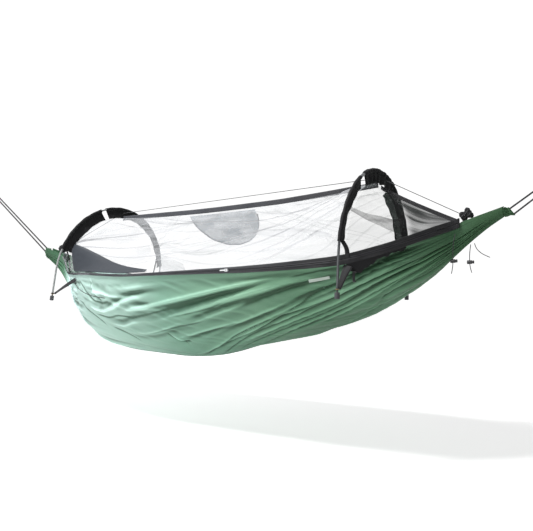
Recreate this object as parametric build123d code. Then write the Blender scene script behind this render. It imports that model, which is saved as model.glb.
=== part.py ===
from build123d import *
from bisect import bisect_right
from math import atan2, cos, degrees, exp, pi, radians, sin, sqrt
import os

# Camping hammock with an insect net held up by two bowed poles.
# Working frame: origin midway between the gathered ends, X along the bed towards the head end,
# Y across the bed, Z up. save() moves every piece so that the row's origin is the head hanging point.

# ---- driving dimensions, mm ----
GATHER_X = 1200.0         # half the distance between the gathered ends
ROPE_RISE = 0.70          # slope of the hanging loops, rise over run
HEAD_REACH = 125.0        # level distance from the head gather to its hanging point
FOOT_REACH = 530.0        # the same at the foot end
LOOP_D = 4.5              # hanging loop cord
LOOP_HALF = 11.0          # half the distance between a loop's two runs at the gather ...
LOOP_TIP_HALF = 8.0       # ... and at the hanging point
LOOP_TURN_R = 7.2         # where the loop goes round what it hangs on
HEM_REACH = 18.0          # the gathered hem's face stands this far past the gather
HEM_FACE_Z = 6.0
FABRIC_T = 2.0            # plain wall that stands for the gathered outer fabric
BED_GAP = 2.0             # room between the outer fabric and the bed layer
BED_T = 1.2
BED_END_X = 720.0         # the double bed layer ends here, both ways
NET_T = 1.0
NET_INSET = 4.0           # the net's lower edge stands inside the rim by this ...
NET_LIFT = 5.0            # ... and above it by this
TAPE_T = 1.2
TAPE_V = 3.4              # how far the zip tapes stand out from the fabric
ZIP_HALF_GAP = 1.4        # half the lane between the two tapes that the slider's neck runs in
COIL_V = 4.9
COIL_T = 2.6
COIL_H = 2.5
ZIP_END_X = 1060.0         # a station, so that the tapes keep their distance from the fabric
COIL_END_X = 1000.0
ZIP_FOOT_X = -1000.0
COIL_FOOT_X = -940.0
STRAIGHT_X0 = -200.0      # the rim is straight from here ...
STRAIGHT_X1 = 350.0       # ... to here, where the zip sliders run
ARCH_W = 333.0            # half the distance between an arch's feet, and the radius of its bow
ARCH_LEG = 138.0          # straight leg below the bow
ARCH_FOOT_Z = -278.0
POLE_R = 4.25
POLE_BORE_R = 2.5
SHOCK_R = 1.5
FERRULE_R = 5.6
FERRULE_BORE_R = 4.4
SLEEVE_R = 7.0
SLEEVE_BORE_R = 6.2
FIN_W = 38.0              # sleeve fin, from the pole pocket towards the net
FIN_T = 1.6
TIP_R = 2.8
EYELET_H = 30.0           # eyelet's height above the end of the pole tip
STRAP_T = 1.5             # webbing from the bed to each pole's foot
BOOT_R = 8.5              # rubber foot below the eyelet ...
BOOT_TOP = 21.0           # ... and its height
TAPE_NARROW = 3.5         # each zip tape's width towards the foot end ...
TAPE_WIDE = 15.0          # ... and at the head end
TAPE_GROWS = (-160.0, 740.0)  # x where the tapes start and stop widening
RIDGE_TAPE_H = 22.0
RIDGE_CORD_D = 2.5
STOW_CORD_D = 2.6

# arch name: x of its feet, lean towards +X in degrees
ARCHES = {"head": (751.0, 2.7), "foot": (-696.0, 11.3)}
# where each arch's straps are sewn to the bed: x, depth below the rim, half the webbing's width there
STRAP_TOPS = {"head": (775.0, 23.0, 15.0), "foot": (-575.0, 26.0, 9.0)}
# x, z along the bottom of the bed
KEEL = [
    (-1200, -40), (-1110, -98), (-1000, -205), (-880, -325), (-760, -412), (-600, -486), (-400, -520),
    (-150, -533), (40, -520), (250, -467), (700, -347), (850, -268), (1000, -175), (1110, -110), (1200, -34),
]
# x, half width, z along the upper edge of the bed fabric
RIM = [
    (-1200, 24, 22), (-1060, 30, -22), (-980, 62, -52), (-865, 130, -98), (-740, 215, -138),
    (-640, 272, -154), (-480, 318, -162), (-200, 333, -177), (350, 333, -173), (600, 326, -165),
    (740, 308, -155), (865, 240, -120), (980, 110, -62), (1060, 30, -23), (1200, 24, 22),
]
# x, z along the ridge of the net
RIDGE = [(-610, 137), (-480, 135), (0, 126), (290, 127), (520, 135), (760, 147)]
# the outer fabric is one cloth, drawn in four lengths that meet edge to edge
FABRIC_LENGTHS = {
    "foot_end": (-1195, -720), "foot_half": (-720, 0), "head_half": (0, 720), "head_end": (720, 1195),
}
# x where the body is cut into stations
STATIONS = [
    -1195, -1150, -1105, -1060, -1000, -940, -880, -800, -720, -640, -560, -400, -200, 0, 175,
    350, 480, 600, 720, 800, 880, 940, 1000, 1060, 1105, 1150, 1195,
]
HEAD_HANG = Vector(GATHER_X + 20 + HEAD_REACH, 0, 8 + ROPE_RISE * HEAD_REACH)
FOOT_HANG = Vector(-GATHER_X - 20 - FOOT_REACH, 0, 8 + ROPE_RISE * FOOT_REACH)
SHIFT = Pos(-HEAD_HANG.X, 0, -HEAD_HANG.Z)

os.makedirs("parts", exist_ok=True)


# ---- helpers ----
def save(name, *shapes):
    moved = [SHIFT * s for s in shapes]
    export_step(moved[0] if len(moved) == 1 else Compound(children=moved), f"parts/{name}.step")


def through(points):
    """A smooth curve without overshoot through (x, value, ...) points."""
    xs = [p[0] for p in points]
    values = list(zip(*points))[1:]

    def slopes(v):
        h = [b - a for a, b in zip(xs, xs[1:])]
        d = [(v[i + 1] - v[i]) / h[i] for i in range(len(h))]
        inner = [
            0.0 if d[i - 1] * d[i] <= 0 else
            3 * (h[i - 1] + h[i]) / ((2 * h[i] + h[i - 1]) / d[i - 1] + (h[i] + 2 * h[i - 1]) / d[i])
            for i in range(1, len(h))
        ]
        return [d[0]] + inner + [d[-1]]

    m = [slopes(v) for v in values]

    def at(x):
        i = min(max(bisect_right(xs, x) - 1, 0), len(xs) - 2)
        h = xs[i + 1] - xs[i]
        s = (x - xs[i]) / h
        return [
            (1 + 2 * s) * (1 - s) ** 2 * v[i] + s * (1 - s) ** 2 * h * k[i]
            + s * s * (3 - 2 * s) * v[i + 1] + s * s * (s - 1) * h * k[i + 1]
            for v, k in zip(values, m)
        ]

    return at


keel_curve, rim_curve, ridge_curve = through(KEEL), through(RIM), through(RIDGE)


def rim(x):
    """Half width and height of the fabric's upper edge, straight where the sliders run."""
    if STRAIGHT_X0 <= x <= STRAIGHT_X1:
        (y0, z0), (y1, z1) = rim_curve(STRAIGHT_X0), rim_curve(STRAIGHT_X1)
        s = (x - STRAIGHT_X0) / (STRAIGHT_X1 - STRAIGHT_X0)
        return y0 + s * (y1 - y0), z0 + s * (z1 - z0)
    return rim_curve(x)


def inset(points, distance):
    """Plane points (a, b) moved sideways by distance, to the left of their direction."""
    moved = []
    for i, (a, b) in enumerate(points):
        a0, b0 = points[max(i - 1, 0)]
        a1, b1 = points[min(i + 1, len(points) - 1)]
        length = sqrt((a1 - a0) ** 2 + (b1 - b0) ** 2)
        moved.append((a - distance * (b1 - b0) / length, b + distance * (a1 - a0) / length))
    return moved


def skin(stations):
    """A closed thin solid through a list of closed outlines, each a list of points in one plane."""
    wires = [Wire.make_polygon([Vector(*p) for p in outline], close=True) for outline in stations]
    return Solid.make_loft(wires, ruled=True)


def other_side(shape):
    return mirror(shape, about=Plane.XZ)


def rod(start, end, radius, bore=0.0):
    along = end - start
    plane = Plane(origin=start, z_dir=along)
    section = Circle(radius) - Circle(bore) if bore else Circle(radius)
    return extrude(plane * section, along.length)


def block(low, high):
    size = [b - a for a, b in zip(low, high)]
    middle = [(a + b) / 2 for a, b in zip(low, high)]
    return Pos(*middle) * Box(*size)


# ---- outer fabric, bed layer and gathered hems ----
def trough_outline(x, outer, inner, first, last):
    """Cross-section of a wall of the bed between two depths inside the outer surface, in 12 degree steps."""
    y, z = rim(x)
    depth = z - keel_curve(x)[0]
    angles = [radians(12 * i) for i in range(16)]
    line = [(-y * cos(a), z - depth * sin(a)) for a in angles]
    near = inset(line, outer)[first:last + 1]
    far = inset(line, inner)[first:last + 1]
    return [(x, *p) for p in near + far[::-1]]


def bed_fabric():
    for name, (x0, x1) in FABRIC_LENGTHS.items():
        stations = [x for x in STATIONS if x0 <= x <= x1]
        save(f"outer_fabric_{name}", skin([trough_outline(x, 0, FABRIC_T, 0, 15) for x in stations]))
    lower, upper = FABRIC_T + BED_GAP, FABRIC_T + BED_GAP + BED_T
    inner_stations = [x for x in STATIONS if abs(x) <= BED_END_X]
    save("bed_layer", skin([trough_outline(x, lower, upper, 2, 13) for x in inner_stations]))


def gather_hem(side):
    """The fabric's end, bunched to a stem whose face looks up the hanging loops."""
    steps = 16
    x0 = side * (GATHER_X - 4)
    y, z = rim(side * GATHER_X)
    low = keel_curve(side * GATHER_X)[0]
    mid, half = (z + low) / 2, (z - low) / 2
    up = Vector(-side * ROPE_RISE, 0, 1).normalized()
    centre = Vector(side * (GATHER_X + HEM_REACH), 0, HEM_FACE_Z)
    wide, tall = 12.0, 17.0
    angles = [2 * pi * i / steps for i in range(steps)]
    first = [(x0, y * cos(a), mid + half * sin(a)) for a in angles]
    mouth = [centre + Vector(0, wide * cos(a), 0) + up * (tall * sin(a)) for a in angles]
    return skin([first, [(p.X, p.Y, p.Z) for p in mouth]])


# ---- zips along the two rims ----
def zip_height(x):
    """How wide the tapes lie on each side of the coil: they narrow towards the foot end."""
    first, last = TAPE_GROWS
    return TAPE_NARROW + (TAPE_WIDE - TAPE_NARROW) * min(max((x - first) / (last - first), 0), 1)


def rim_strip(x0, x1, v0, v1, low, high):
    """A strip beside the rim between two distances outwards and two heights, which may vary with x."""
    inner = [x for x in STATIONS if x0 < x < x1 and not STRAIGHT_X0 < x < STRAIGHT_X1]
    outlines = []
    for x in [x0] + inner + [x1]:
        y, z = rim(x)
        outlines.append([
            (x, -y - v0, z + low(x)), (x, -y - v1, z + low(x)),
            (x, -y - v1, z + high(x)), (x, -y - v0, z + high(x)),
        ])
    return skin(outlines)


def zips():
    g = ZIP_HALF_GAP
    tape = (ZIP_FOOT_X, ZIP_END_X, TAPE_V, TAPE_V + TAPE_T)
    coil = (COIL_FOOT_X, COIL_END_X, COIL_V, COIL_V + COIL_T)
    lower = rim_strip(*tape, lambda x: -g - zip_height(x), lambda x: -g)
    upper = rim_strip(*tape, lambda x: g, lambda x: g + zip_height(x))
    coil_low = rim_strip(*coil, lambda x: -g - COIL_H, lambda x: -g)
    coil_high = rim_strip(*coil, lambda x: g, lambda x: g + COIL_H)
    for side, turn in (("near", lambda s: s), ("far", other_side)):
        save(f"{side}_zip_tapes", turn(lower), turn(upper))
        save(f"{side}_zip_coil", turn(coil_low), turn(coil_high))


def slider_and_puller(x):
    """Slider astride the coil, built about the zip's line, and the puller lying towards the foot end."""
    y, z = rim(x)
    half_long, half_tall, face = 6.0, 5.2, COIL_V + COIL_T
    pin_x, pin_v, pin_r, ear_z = -2.0, face + 4.4, 0.8, 3.4
    tab_long, tab_wide, tab_half_t, tab_hole_x = 26.0, 4.4, 0.7, -21.5
    front = block((-half_long, face + 0.6, -half_tall), (half_long, face + 2.2, half_tall))
    back = block((-half_long, 1.2, -half_tall), (half_long, TAPE_V - 0.7, half_tall))
    neck = block((3.2, TAPE_V - 0.8, -0.9), (half_long, face + 0.7, 0.9))
    ears = [block((-4.2, face + 2.1, s * ear_z - 0.7), (0.2, pin_v + 1.8, s * ear_z + 0.7)) for s in (-1, 1)]
    pin = Pos(pin_x, pin_v, 0) * Cylinder(pin_r, 6.2)
    slider = front + back + neck + ears[0] + ears[1] + pin
    outline = RectangleRounded(tab_long, tab_wide, 2.0).rotate(Axis.X, 90)
    tab = Pos(-tab_long / 2 - 0.5, pin_v, 0) * extrude(outline, tab_half_t, both=True)
    eye = Pos(pin_x, pin_v, 0) * Cylinder(2.1, tab_wide)
    puller = tab + eye - Pos(pin_x, pin_v, 0) * Cylinder(pin_r + 0.05, 10)
    puller -= Pos(tab_hole_x, pin_v, 0) * Cylinder(1.1, 10, rotation=(90, 0, 0))
    (y0, z0), (y1, z1) = rim(STRAIGHT_X0), rim(STRAIGHT_X1)
    rise = Rot(0, -degrees(atan2(z1 - z0, STRAIGHT_X1 - STRAIGHT_X0)), 0)
    return [Pos(x, -y, z) * (rise * mirror(s, about=Plane.XZ)) for s in (slider, puller)]


# ---- net ----
def station(u):
    """Plane across the bed that leans like the arches: foot x, lean, for u from 0 at the foot arch to 1."""
    (x0, l0), (x1, l1) = ARCHES["foot"], ARCHES["head"]
    return x0 + (x1 - x0) * u, radians(l0 + (l1 - l0) * u)


def in_plane(x, lean, y, h):
    return (x + h * sin(lean), y, ARCH_FOOT_Z + h * cos(lean))


def rim_height(x, lean):
    """Half width of the rim and its height in a leaning plane, found by repeated substitution."""
    h = 120.0
    for _ in range(5):
        y, z = rim(x + h * sin(lean))
        h = (z - ARCH_FOOT_Z) / cos(lean)
    return y, h


def net_line(u, steps, first=0.0, last=1.0):
    """Net panel's line in its leaning plane, from ridge (0) to rim (1): bowed at an arch, straight between."""
    x, lean = station(u)
    y_rim, h_rim = rim_height(x, lean)
    y_rim -= NET_INSET
    h_rim += NET_LIFT
    bow_top = ARCH_LEG + ARCH_W - SLEEVE_R - FIN_W - 2
    ridge_h = (ridge_curve(x + bow_top * sin(lean))[0] - ARCH_FOOT_Z) / cos(lean) - RIDGE_TAPE_H / 2
    span = ARCHES["head"][0] - ARCHES["foot"][0]
    bow = min(exp(-(u * span / 230) ** 2) + exp(-((1 - u) * span / 230) ** 2), 1)
    line = []
    for i in range(steps + 1):
        v = first + (last - first) * i / steps
        a = pi / 2 * (1 - v)
        y = bow * y_rim * cos(a) + (1 - bow) * y_rim * v
        top = bow * min(bow_top, ridge_h + 8) + (1 - bow) * ridge_h
        h = h_rim + (top - h_rim) * (bow * sin(a) + (1 - bow) * (1 - v))
        line.append((-y - 2.0 * (1 - v), h))
    return x, lean, line


def net_patch(us, first, last, depth, thick, steps):
    """A piece of the near net panel as a thin solid: depth is how far outside the net it lies."""
    outlines = []
    for u in us:
        x, lean, line = net_line(u, steps, first(u), last(u))
        near, far = inset(line, -depth), inset(line, -depth - thick)
        outlines.append([in_plane(x, lean, *p) for p in near + far[::-1]])
    return skin(outlines)


def net_panels():
    us = [0.004, 0.05, 0.11, 0.18, 0.27, 0.4, 0.5, 0.6, 0.73, 0.82, 0.89, 0.95, 0.996]
    panel = net_patch(us, lambda u: 0.0, lambda u: 1.0, 0.0, NET_T, 10)
    save("near_net_panel", panel)
    save("far_net_panel", other_side(panel))
    # grey triangle along the rim at the foot end, highest at the arch
    gusset_end, gusset_top, gusset_low = 0.4, 0.78, 0.98
    slope = [0.05, 0.11, 0.18, 0.27, gusset_end]
    rise = lambda u: gusset_top + (gusset_low - 0.02 - gusset_top) * u / gusset_end
    gusset = net_patch(slope, rise, lambda u: gusset_low, NET_T + 5.0, 0.8, 4)
    save("foot_gussets", gusset, other_side(gusset))
    # half round pocket hung below the ridge on the far panel
    middle, reach, pocket_top, pocket_deep = 0.465, 0.125, 0.03, 0.42
    half_round = [middle + reach * s for s in (-1, -0.85, -0.55, 0, 0.55, 0.85, 1)]
    bottom = lambda u: pocket_top + 0.02 + pocket_deep * sqrt(max(1 - ((u - middle) / reach) ** 2, 0.01))
    pocket = net_patch(half_round, lambda u: pocket_top, bottom, -4.0, 0.8, 6)
    save("storage_pocket", other_side(pocket))


def end_net(name):
    """Net between an arch and the gathered end, tent-like, one skin from the near rim over to the far rim."""
    x_arch, lean_deg = ARCHES[name]
    side = 1 if name == "head" else -1
    tip_x = side * 1048.0
    tip_top = -8.0
    outlines = []
    for t in (0.012, 0.1, 0.25, 0.42, 0.6, 0.78, 0.9, 1.0):
        x = x_arch + (tip_x - x_arch) * t
        lean = radians(lean_deg) * (1 - t)
        y_rim, h_rim = rim_height(x, lean)
        y_rim -= NET_INSET
        h_rim += NET_LIFT
        bow_top = ARCH_LEG + ARCH_W - SLEEVE_R - FIN_W - 2
        top = bow_top + (tip_top - ARCH_FOOT_Z - bow_top) * t ** 0.9
        bow = (1 - t) ** 2
        line = []
        steps = 16
        for i in range(steps + 1):
            v = -1 + 2 * i / steps
            a = pi / 2 * (1 - abs(v))
            y = (bow * cos(a) + (1 - bow) * abs(v)) * y_rim * (1 if v > 0 else -1)
            h = h_rim + (top - h_rim) * (bow * sin(a) + (1 - bow) * (1 - abs(v)))
            line.append((y, h))
        near, far = line, inset(line, NET_T)
        outlines.append([in_plane(x, lean, *p) for p in near + far[::-1]])
    save(f"{name}_end_net", skin(outlines))


# ---- arches ----
def place_arch(name, shape):
    """Moves a piece drawn in the plane X = 0, feet at Z = 0, to its arch."""
    x, lean = ARCHES[name]
    return Pos(x, 0, ARCH_FOOT_Z) * (Rot(0, lean, 0) * shape)


def bow(sketch, first, last):
    """Sweeps a section about the bow's centre. The section's x is along X, its y is outwards."""
    a = radians(first)
    outwards = Vector(0, -cos(a), sin(a))
    origin = Vector(0, 0, ARCH_LEG) + outwards * ARCH_W
    plane = Plane(origin=origin, x_dir=(1, 0, 0), z_dir=Vector(1, 0, 0).cross(outwards))
    return revolve(plane * sketch, Axis((0, 0, ARCH_LEG), (-1, 0, 0)), last - first)


def leg(side, low, high, radius, bore=0.0):
    return rod(Vector(0, side * ARCH_W, low), Vector(0, side * ARCH_W, high), radius, bore)


def tube(radius, bore):
    return Circle(radius) - Circle(bore)


def sleeve(first, last):
    """Fabric pocket round the pole with a flat fin towards the net."""
    fin = Pos(0, -SLEEVE_R - FIN_W / 2 + 0.4) * Rectangle(FIN_T, FIN_W + 0.8)
    return bow(tube(SLEEVE_R, SLEEVE_BORE_R) + fin, first, last)


def poles(name):
    """Three sections on an elastic cord, two ferrules and two tips."""
    split, gap, ferrule_half = 60.0, 0.05, 7.0
    start = EYELET_H + 6
    section = tube(POLE_R, POLE_BORE_R)
    near = leg(-1, start, ARCH_LEG, POLE_R, POLE_BORE_R) + bow(section, 0, split - gap)
    save(f"{name}_pole_near", place_arch(name, near))
    save(f"{name}_pole_top", place_arch(name, bow(section, split + gap, 180 - split - gap)))
    save(f"{name}_pole_far", place_arch(name, other_side(near)))
    ferrule = bow(tube(FERRULE_R, FERRULE_BORE_R), split - ferrule_half, split + ferrule_half)
    ferrules = [place_arch(name, f) for f in (ferrule, other_side(ferrule))]
    legs = [leg(s, start + 14, ARCH_LEG, SHOCK_R) for s in (-1, 1)]
    cord = legs[0] + bow(Circle(SHOCK_R), 0, 180) + legs[1]
    tip = leg(-1, 0, start - 0.2, TIP_R) + leg(-1, EYELET_H + 2.6, start - 0.2, POLE_R + 0.8)
    tip += leg(-1, start - 0.3, start + 12, POLE_BORE_R - 0.1)
    boot = leg(-1, 0, BOOT_TOP, BOOT_R)
    tip += fillet(boot.edges().filter_by(GeomType.CIRCLE), 2.5)
    save(f"{name}_pole_tips", *[place_arch(name, t) for t in (tip, other_side(tip))])
    return ferrules, place_arch(name, cord)


def foot_strap(name):
    """Webbing from below the rim down to the eyelet that the pole tip sits in, in the arch's own plane frame."""
    x_arch, lean_deg = ARCHES[name]
    lean = radians(lean_deg)
    x_top, below, wide_top = STRAP_TOPS[name]
    y_rim, z_rim = rim(x_top)
    along, up = x_top - x_arch, z_rim - below - ARCH_FOOT_Z
    top = (along * cos(lean) - up * sin(lean), along * sin(lean) + up * cos(lean))
    y_low, wide_low = -ARCH_W + 11.0, 8.0
    run = sqrt(top[0] ** 2 + (top[1] - EYELET_H) ** 2)
    across = ((top[1] - EYELET_H) / run, -top[0] / run)
    rows = [
        (top, -y_rim - 1.0 - STRAP_T, [wide_top * c for c in across]),
        ((0.0, EYELET_H + 12), y_low - 3, (wide_low, 0.0)),
        ((0.0, EYELET_H), y_low, (wide_low, 0.0)),
    ]
    outlines = []
    for (x, h), y, (a, b) in rows:
        low, high = (x - a, h - b), (x + a, h + b)
        outlines.append([
            (low[0], y, low[1]), (high[0], y, high[1]), (high[0], y + STRAP_T, high[1]), (low[0], y + STRAP_T, low[1]),
        ])
    drop = skin(outlines)
    tongue = Pos(0, -ARCH_W, EYELET_H) * Cylinder(9.0, STRAP_T, align=(Align.CENTER, Align.CENTER, Align.MIN))
    bridge = block((-wide_low, -ARCH_W, EYELET_H), (wide_low, y_low + STRAP_T, EYELET_H + STRAP_T))
    hole = Pos(0, -ARCH_W, EYELET_H) * Cylinder(4.6, 10)
    return drop + (tongue + bridge - hole)


def eyelet():
    """Rolled brass ring through the strap, with a flange above and below."""
    flange, bore_r = 0.7, 3.1
    ring = Cylinder(6.8, flange) - Cylinder(bore_r, 3)
    barrel = Cylinder(4.4, STRAP_T + 2 * flange) - Cylinder(bore_r, 6)
    top = STRAP_T / 2 + flange / 2 + 0.05
    body = barrel + Pos(0, 0, top) * ring + Pos(0, 0, -top) * ring
    return Pos(0, -ARCH_W, EYELET_H + STRAP_T / 2) * body


def arches():
    save("head_sleeve_near", place_arch("head", sleeve(8, 57)))
    save("head_sleeve_far", place_arch("head", sleeve(115.5, 172)))
    cap_fin = Pos(0, -SLEEVE_R - FIN_W / 2 + 0.4) * Rectangle(FIN_T * 2, FIN_W + 0.8)
    cap = bow(tube(SLEEVE_R + 2, SLEEVE_BORE_R) + cap_fin, 63, 113)
    save("head_gathered_cap", place_arch("head", cap - ridge_cord_hole("head")))
    save("foot_sleeve_near", place_arch("foot", sleeve(18, 67)))
    save("foot_sleeve_far", place_arch("foot", sleeve(72, 170) - ridge_cord_hole("foot")))
    ferrules, shock_cords, eyelets = [], [], []
    for name in ARCHES:
        pair, cord = poles(name)
        ferrules += pair
        shock_cords.append(cord)
        strap = foot_strap(name)
        save(f"{name}_foot_straps", *[place_arch(name, s) for s in (strap, other_side(strap))])
        ring = eyelet()
        eyelets += [place_arch(name, r) for r in (ring, other_side(ring))]
    save("pole_ferrules", *ferrules)
    save("pole_shock_cords", *shock_cords)
    save("foot_eyelets", *eyelets)


# ---- ridge ----
CORD_HOLE_H = ARCH_LEG + ARCH_W - SLEEVE_R - 14    # where the ridge cord crosses each fin


def ridge_cord_hole(name):
    return Pos(0, 0, CORD_HOLE_H) * Cylinder(4.0, 40, rotation=(0, 90, 0))


def fin_point(name):
    x, lean = ARCHES[name]
    return Vector(*in_plane(x, radians(lean), 0, CORD_HOLE_H))


def ridge():
    a, b = fin_point("foot").X + 12, fin_point("head").X - 12
    outlines = []
    for x in [a, -480, -300, -100, 100, 300, 500, 640, b]:
        z = ridge_curve(x)[0]
        low, high = z - RIDGE_TAPE_H / 2, z + RIDGE_TAPE_H / 2
        outlines.append([(x, -0.7, low), (x, 0.7, low), (x, 0.7, high), (x, -0.7, high)])
    save("ridge_tape", skin(outlines))
    head, foot = fin_point("head"), fin_point("foot")
    head_end, foot_end = Vector(1056, 0, 12), Vector(-1056, 0, 12)
    path = FilletPolyline(foot_end, foot, head, head_end, radius=[60, 60])
    cord = sweep(Plane(origin=foot_end, z_dir=path % 0) * Circle(RIDGE_CORD_D / 2), path)
    print("ridge cord", round(path.length, 1), "volume", round(cord.volume),
          "section x length", round(pi * RIDGE_CORD_D ** 2 / 4 * path.length))
    save("ridge_cord", cord)


def net_bunch(side):
    """End of the net drawn together and tied: a waist between two frills."""
    profile = Polyline((0, -16), (12, -16), (15, -9), (8, -2), (8, 3), (17, 12), (13, 19), (0, 19), close=True)
    body = revolve(Plane.XZ * make_face(profile), Axis.Z, 360)
    return Pos(side * 1076, 0, 12) * (Rot(0, side * 60, 0) * body)


# ---- cords ----
def hanging_loop(side, y, hang):
    """One loop of cord from the hem's upper face round the hanging point and back to its lower face."""
    along = Vector(side, 0, ROPE_RISE).normalized()
    up = Vector(-side * ROPE_RISE, 0, 1).normalized()
    centre = Vector(side * (GATHER_X + HEM_REACH), 0, HEM_FACE_Z) + along * 0.1
    across = Vector(0, y, 0)
    start, back = centre + up * LOOP_HALF + across, centre - up * LOOP_HALF + across
    tip = hang + along * LOOP_TIP_HALF + across
    far_top, far_low = tip + up * LOOP_TIP_HALF, tip - up * LOOP_TIP_HALF
    turn = [LOOP_TURN_R] * 2
    path = FilletPolyline(start, far_top, far_low, back, radius=turn)
    first = path.position_at(0)
    cord = sweep(Plane(origin=first, z_dir=path % 0) * Circle(LOOP_D / 2), path)
    print("hanging loop", side, round(path.length, 1), "radii", turn, "volume", round(cord.volume),
          "section x length", round(pi * LOOP_D ** 2 / 4 * path.length))
    return cord


def cord_radii(points):
    """Each bend is as large as its two runs allow."""
    radii = []
    for a, b, c in zip(points, points[1:], points[2:]):
        turn = radians((b - a).get_angle(c - b))
        shorter = min((b - a).length, (c - b).length)
        radii.append(0.45 * shorter * cos(turn / 2) / sin(turn / 2))
    return radii


def free_cord(name, points, diameter):
    points = [Vector(*p) for p in points]
    radii = cord_radii(points)
    path = FilletPolyline(*points, radius=radii)
    cord = sweep(Plane(origin=points[0], z_dir=path % 0) * Circle(diameter / 2), path)
    print(name, round(path.length, 1), "radii", [round(r, 1) for r in radii], "volume", round(cord.volume),
          "section x length", round(pi * diameter ** 2 / 4 * path.length))
    save(name, cord)


def wall_point(x, z, off):
    """A point off the near outside of the bed, x along it and z up it."""
    y_rim, z_rim = rim(x)
    level = (z_rim - z) / (z_rim - keel_curve(x)[0])
    return (x, -y_rim * sqrt(1 - level * level) - off, z)


STOW_A = [(1047, -43, -60), (1043, -48, -88), (1040, -50, -120), (1040, -50, -170), (1034, -50, -194)]
STOW_B = [(1091, -19, -97), (1090, -25, -113), (1088, -27, -134), (1088, -27, -172), (1094, -27, -191)]
STOW_C = [(1103, -17.5, -94), (1107, -22, -108), (1118, -25, -122), (1133, -27, -134), (1152, -28, -143)]
# x, z of the elastic tie along the outside of the bed
FOOT_TIE = [(-600, -180), (-578, -204), (-545, -226), (-505, -243), (-452, -258), (-400, -266), (-350, -270)]
LOCKS = {"a": (1040, -50, -152), "b": (1088, -27, -156)}


def along_x(radius, first, last):
    return Pos((first + last) / 2, 0, 0) * Cylinder(radius, last - first, rotation=(0, 90, 0))


def cord_lock(name):
    """Barrel across the cord, a plunger pushed out at its end by a spring, and the spring."""
    centre = Pos(*LOCKS[name])
    barrel_r, bore_r, cord_r, head_r, travel = 6.2, 4.5, 2.0, 5.4, 4.0
    half, floor_x, shaft_x, head_x, head_end = 7.5, -6.1, -1.9, 11.3, 13.6
    barrel = along_x(barrel_r, -half, half) - along_x(bore_r, floor_x, half + 1) - Cylinder(cord_r, 20)
    plunger = along_x(bore_r - 0.15, shaft_x, head_x + 0.1)
    plunger -= block((-cord_r, -cord_r, -10), (cord_r + travel, cord_r, 10))
    plunger += along_x(head_r, head_x, head_end)
    coil = Helix(pitch=0.95, height=3.3, radius=2.9)
    wire = sweep(Plane(origin=coil @ 0, z_dir=coil % 0) * Circle(0.2), coil, is_frenet=True)
    spring = Pos(floor_x + 0.5, 0, 0) * (Rot(0, 90, 0) * wire)
    save(f"cord_lock_{name}_barrel", centre * barrel)
    save(f"cord_lock_{name}_plunger", centre * plunger)
    save(f"cord_lock_{name}_spring", centre * spring)


# ---- small trim ----
def trim():
    tall, deep, wall = 34.0, 13.0, 1.75
    x, y, z = wall_point(790.0, -190.0, deep / 2 + 0.8)
    tab = Pos(x, y, z - tall / 2) * (Box(9, deep, tall) - Box(20, deep - 2 * wall, tall - 2 * wall))
    save("webbing_tab_loop", tab)
    x0, x1 = 640.0, 712.0
    rows = []
    for x in (x0, x1):
        y, z = rim(x)
        depth = z - keel_curve(x)[0]
        line = [(-y * cos(a), z - depth * sin(a)) for a in (0.25, 0.275, 0.30)]
        outside, face = inset(line, -1.2), inset(line, -2.0)
        rows.append([(x, *p) for p in outside + face[::-1]])
    save("blank_label", skin(rows))


bed_fabric()
save("head_gather_hem", gather_hem(1))
save("foot_gather_hem", gather_hem(-1))
zips()
for side, turn in (("near", lambda s: s), ("far", other_side)):
    slider, puller = slider_and_puller(318.0)
    save(f"{side}_zip_slider", turn(slider))
    save(f"{side}_zip_puller", turn(puller))
net_panels()
end_net("head")
end_net("foot")
arches()
ridge()
save("head_net_bunch", net_bunch(1))
save("foot_net_bunch", net_bunch(-1))
for tag, y in (("a", -3.0), ("b", 3.0)):
    save(f"head_hanging_loop_{tag}", hanging_loop(1, y, HEAD_HANG))
    save(f"foot_hanging_loop_{tag}", hanging_loop(-1, y, FOOT_HANG))
free_cord("stow_cord_a", STOW_A, STOW_CORD_D)
free_cord("stow_cord_b", STOW_B, STOW_CORD_D)
free_cord("stow_cord_c", STOW_C, STOW_CORD_D)
free_cord("foot_tie_cord", [wall_point(x, z, 3.5) for x, z in FOOT_TIE], STOW_CORD_D)
for tag in LOCKS:
    cord_lock(tag)
trim()
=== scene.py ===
"""Looks of the camping hammock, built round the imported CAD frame."""

import math
import random
from bisect import bisect_right

import bpy
import numpy as np
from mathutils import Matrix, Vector

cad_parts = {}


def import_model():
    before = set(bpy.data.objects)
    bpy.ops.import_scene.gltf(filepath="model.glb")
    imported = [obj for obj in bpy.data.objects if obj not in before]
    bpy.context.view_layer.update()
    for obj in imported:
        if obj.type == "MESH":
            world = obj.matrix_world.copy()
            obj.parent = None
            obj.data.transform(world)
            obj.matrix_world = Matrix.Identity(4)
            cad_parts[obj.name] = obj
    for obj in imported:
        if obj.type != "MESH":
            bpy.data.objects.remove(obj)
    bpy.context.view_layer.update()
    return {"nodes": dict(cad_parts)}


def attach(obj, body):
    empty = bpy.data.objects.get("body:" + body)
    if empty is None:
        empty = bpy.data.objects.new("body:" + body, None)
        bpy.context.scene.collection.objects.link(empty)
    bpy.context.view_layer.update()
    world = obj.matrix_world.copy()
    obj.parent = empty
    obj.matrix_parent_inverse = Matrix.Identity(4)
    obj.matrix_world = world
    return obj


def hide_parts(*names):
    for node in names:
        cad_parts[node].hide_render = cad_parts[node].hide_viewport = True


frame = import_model()
NODES = frame["nodes"]

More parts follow.
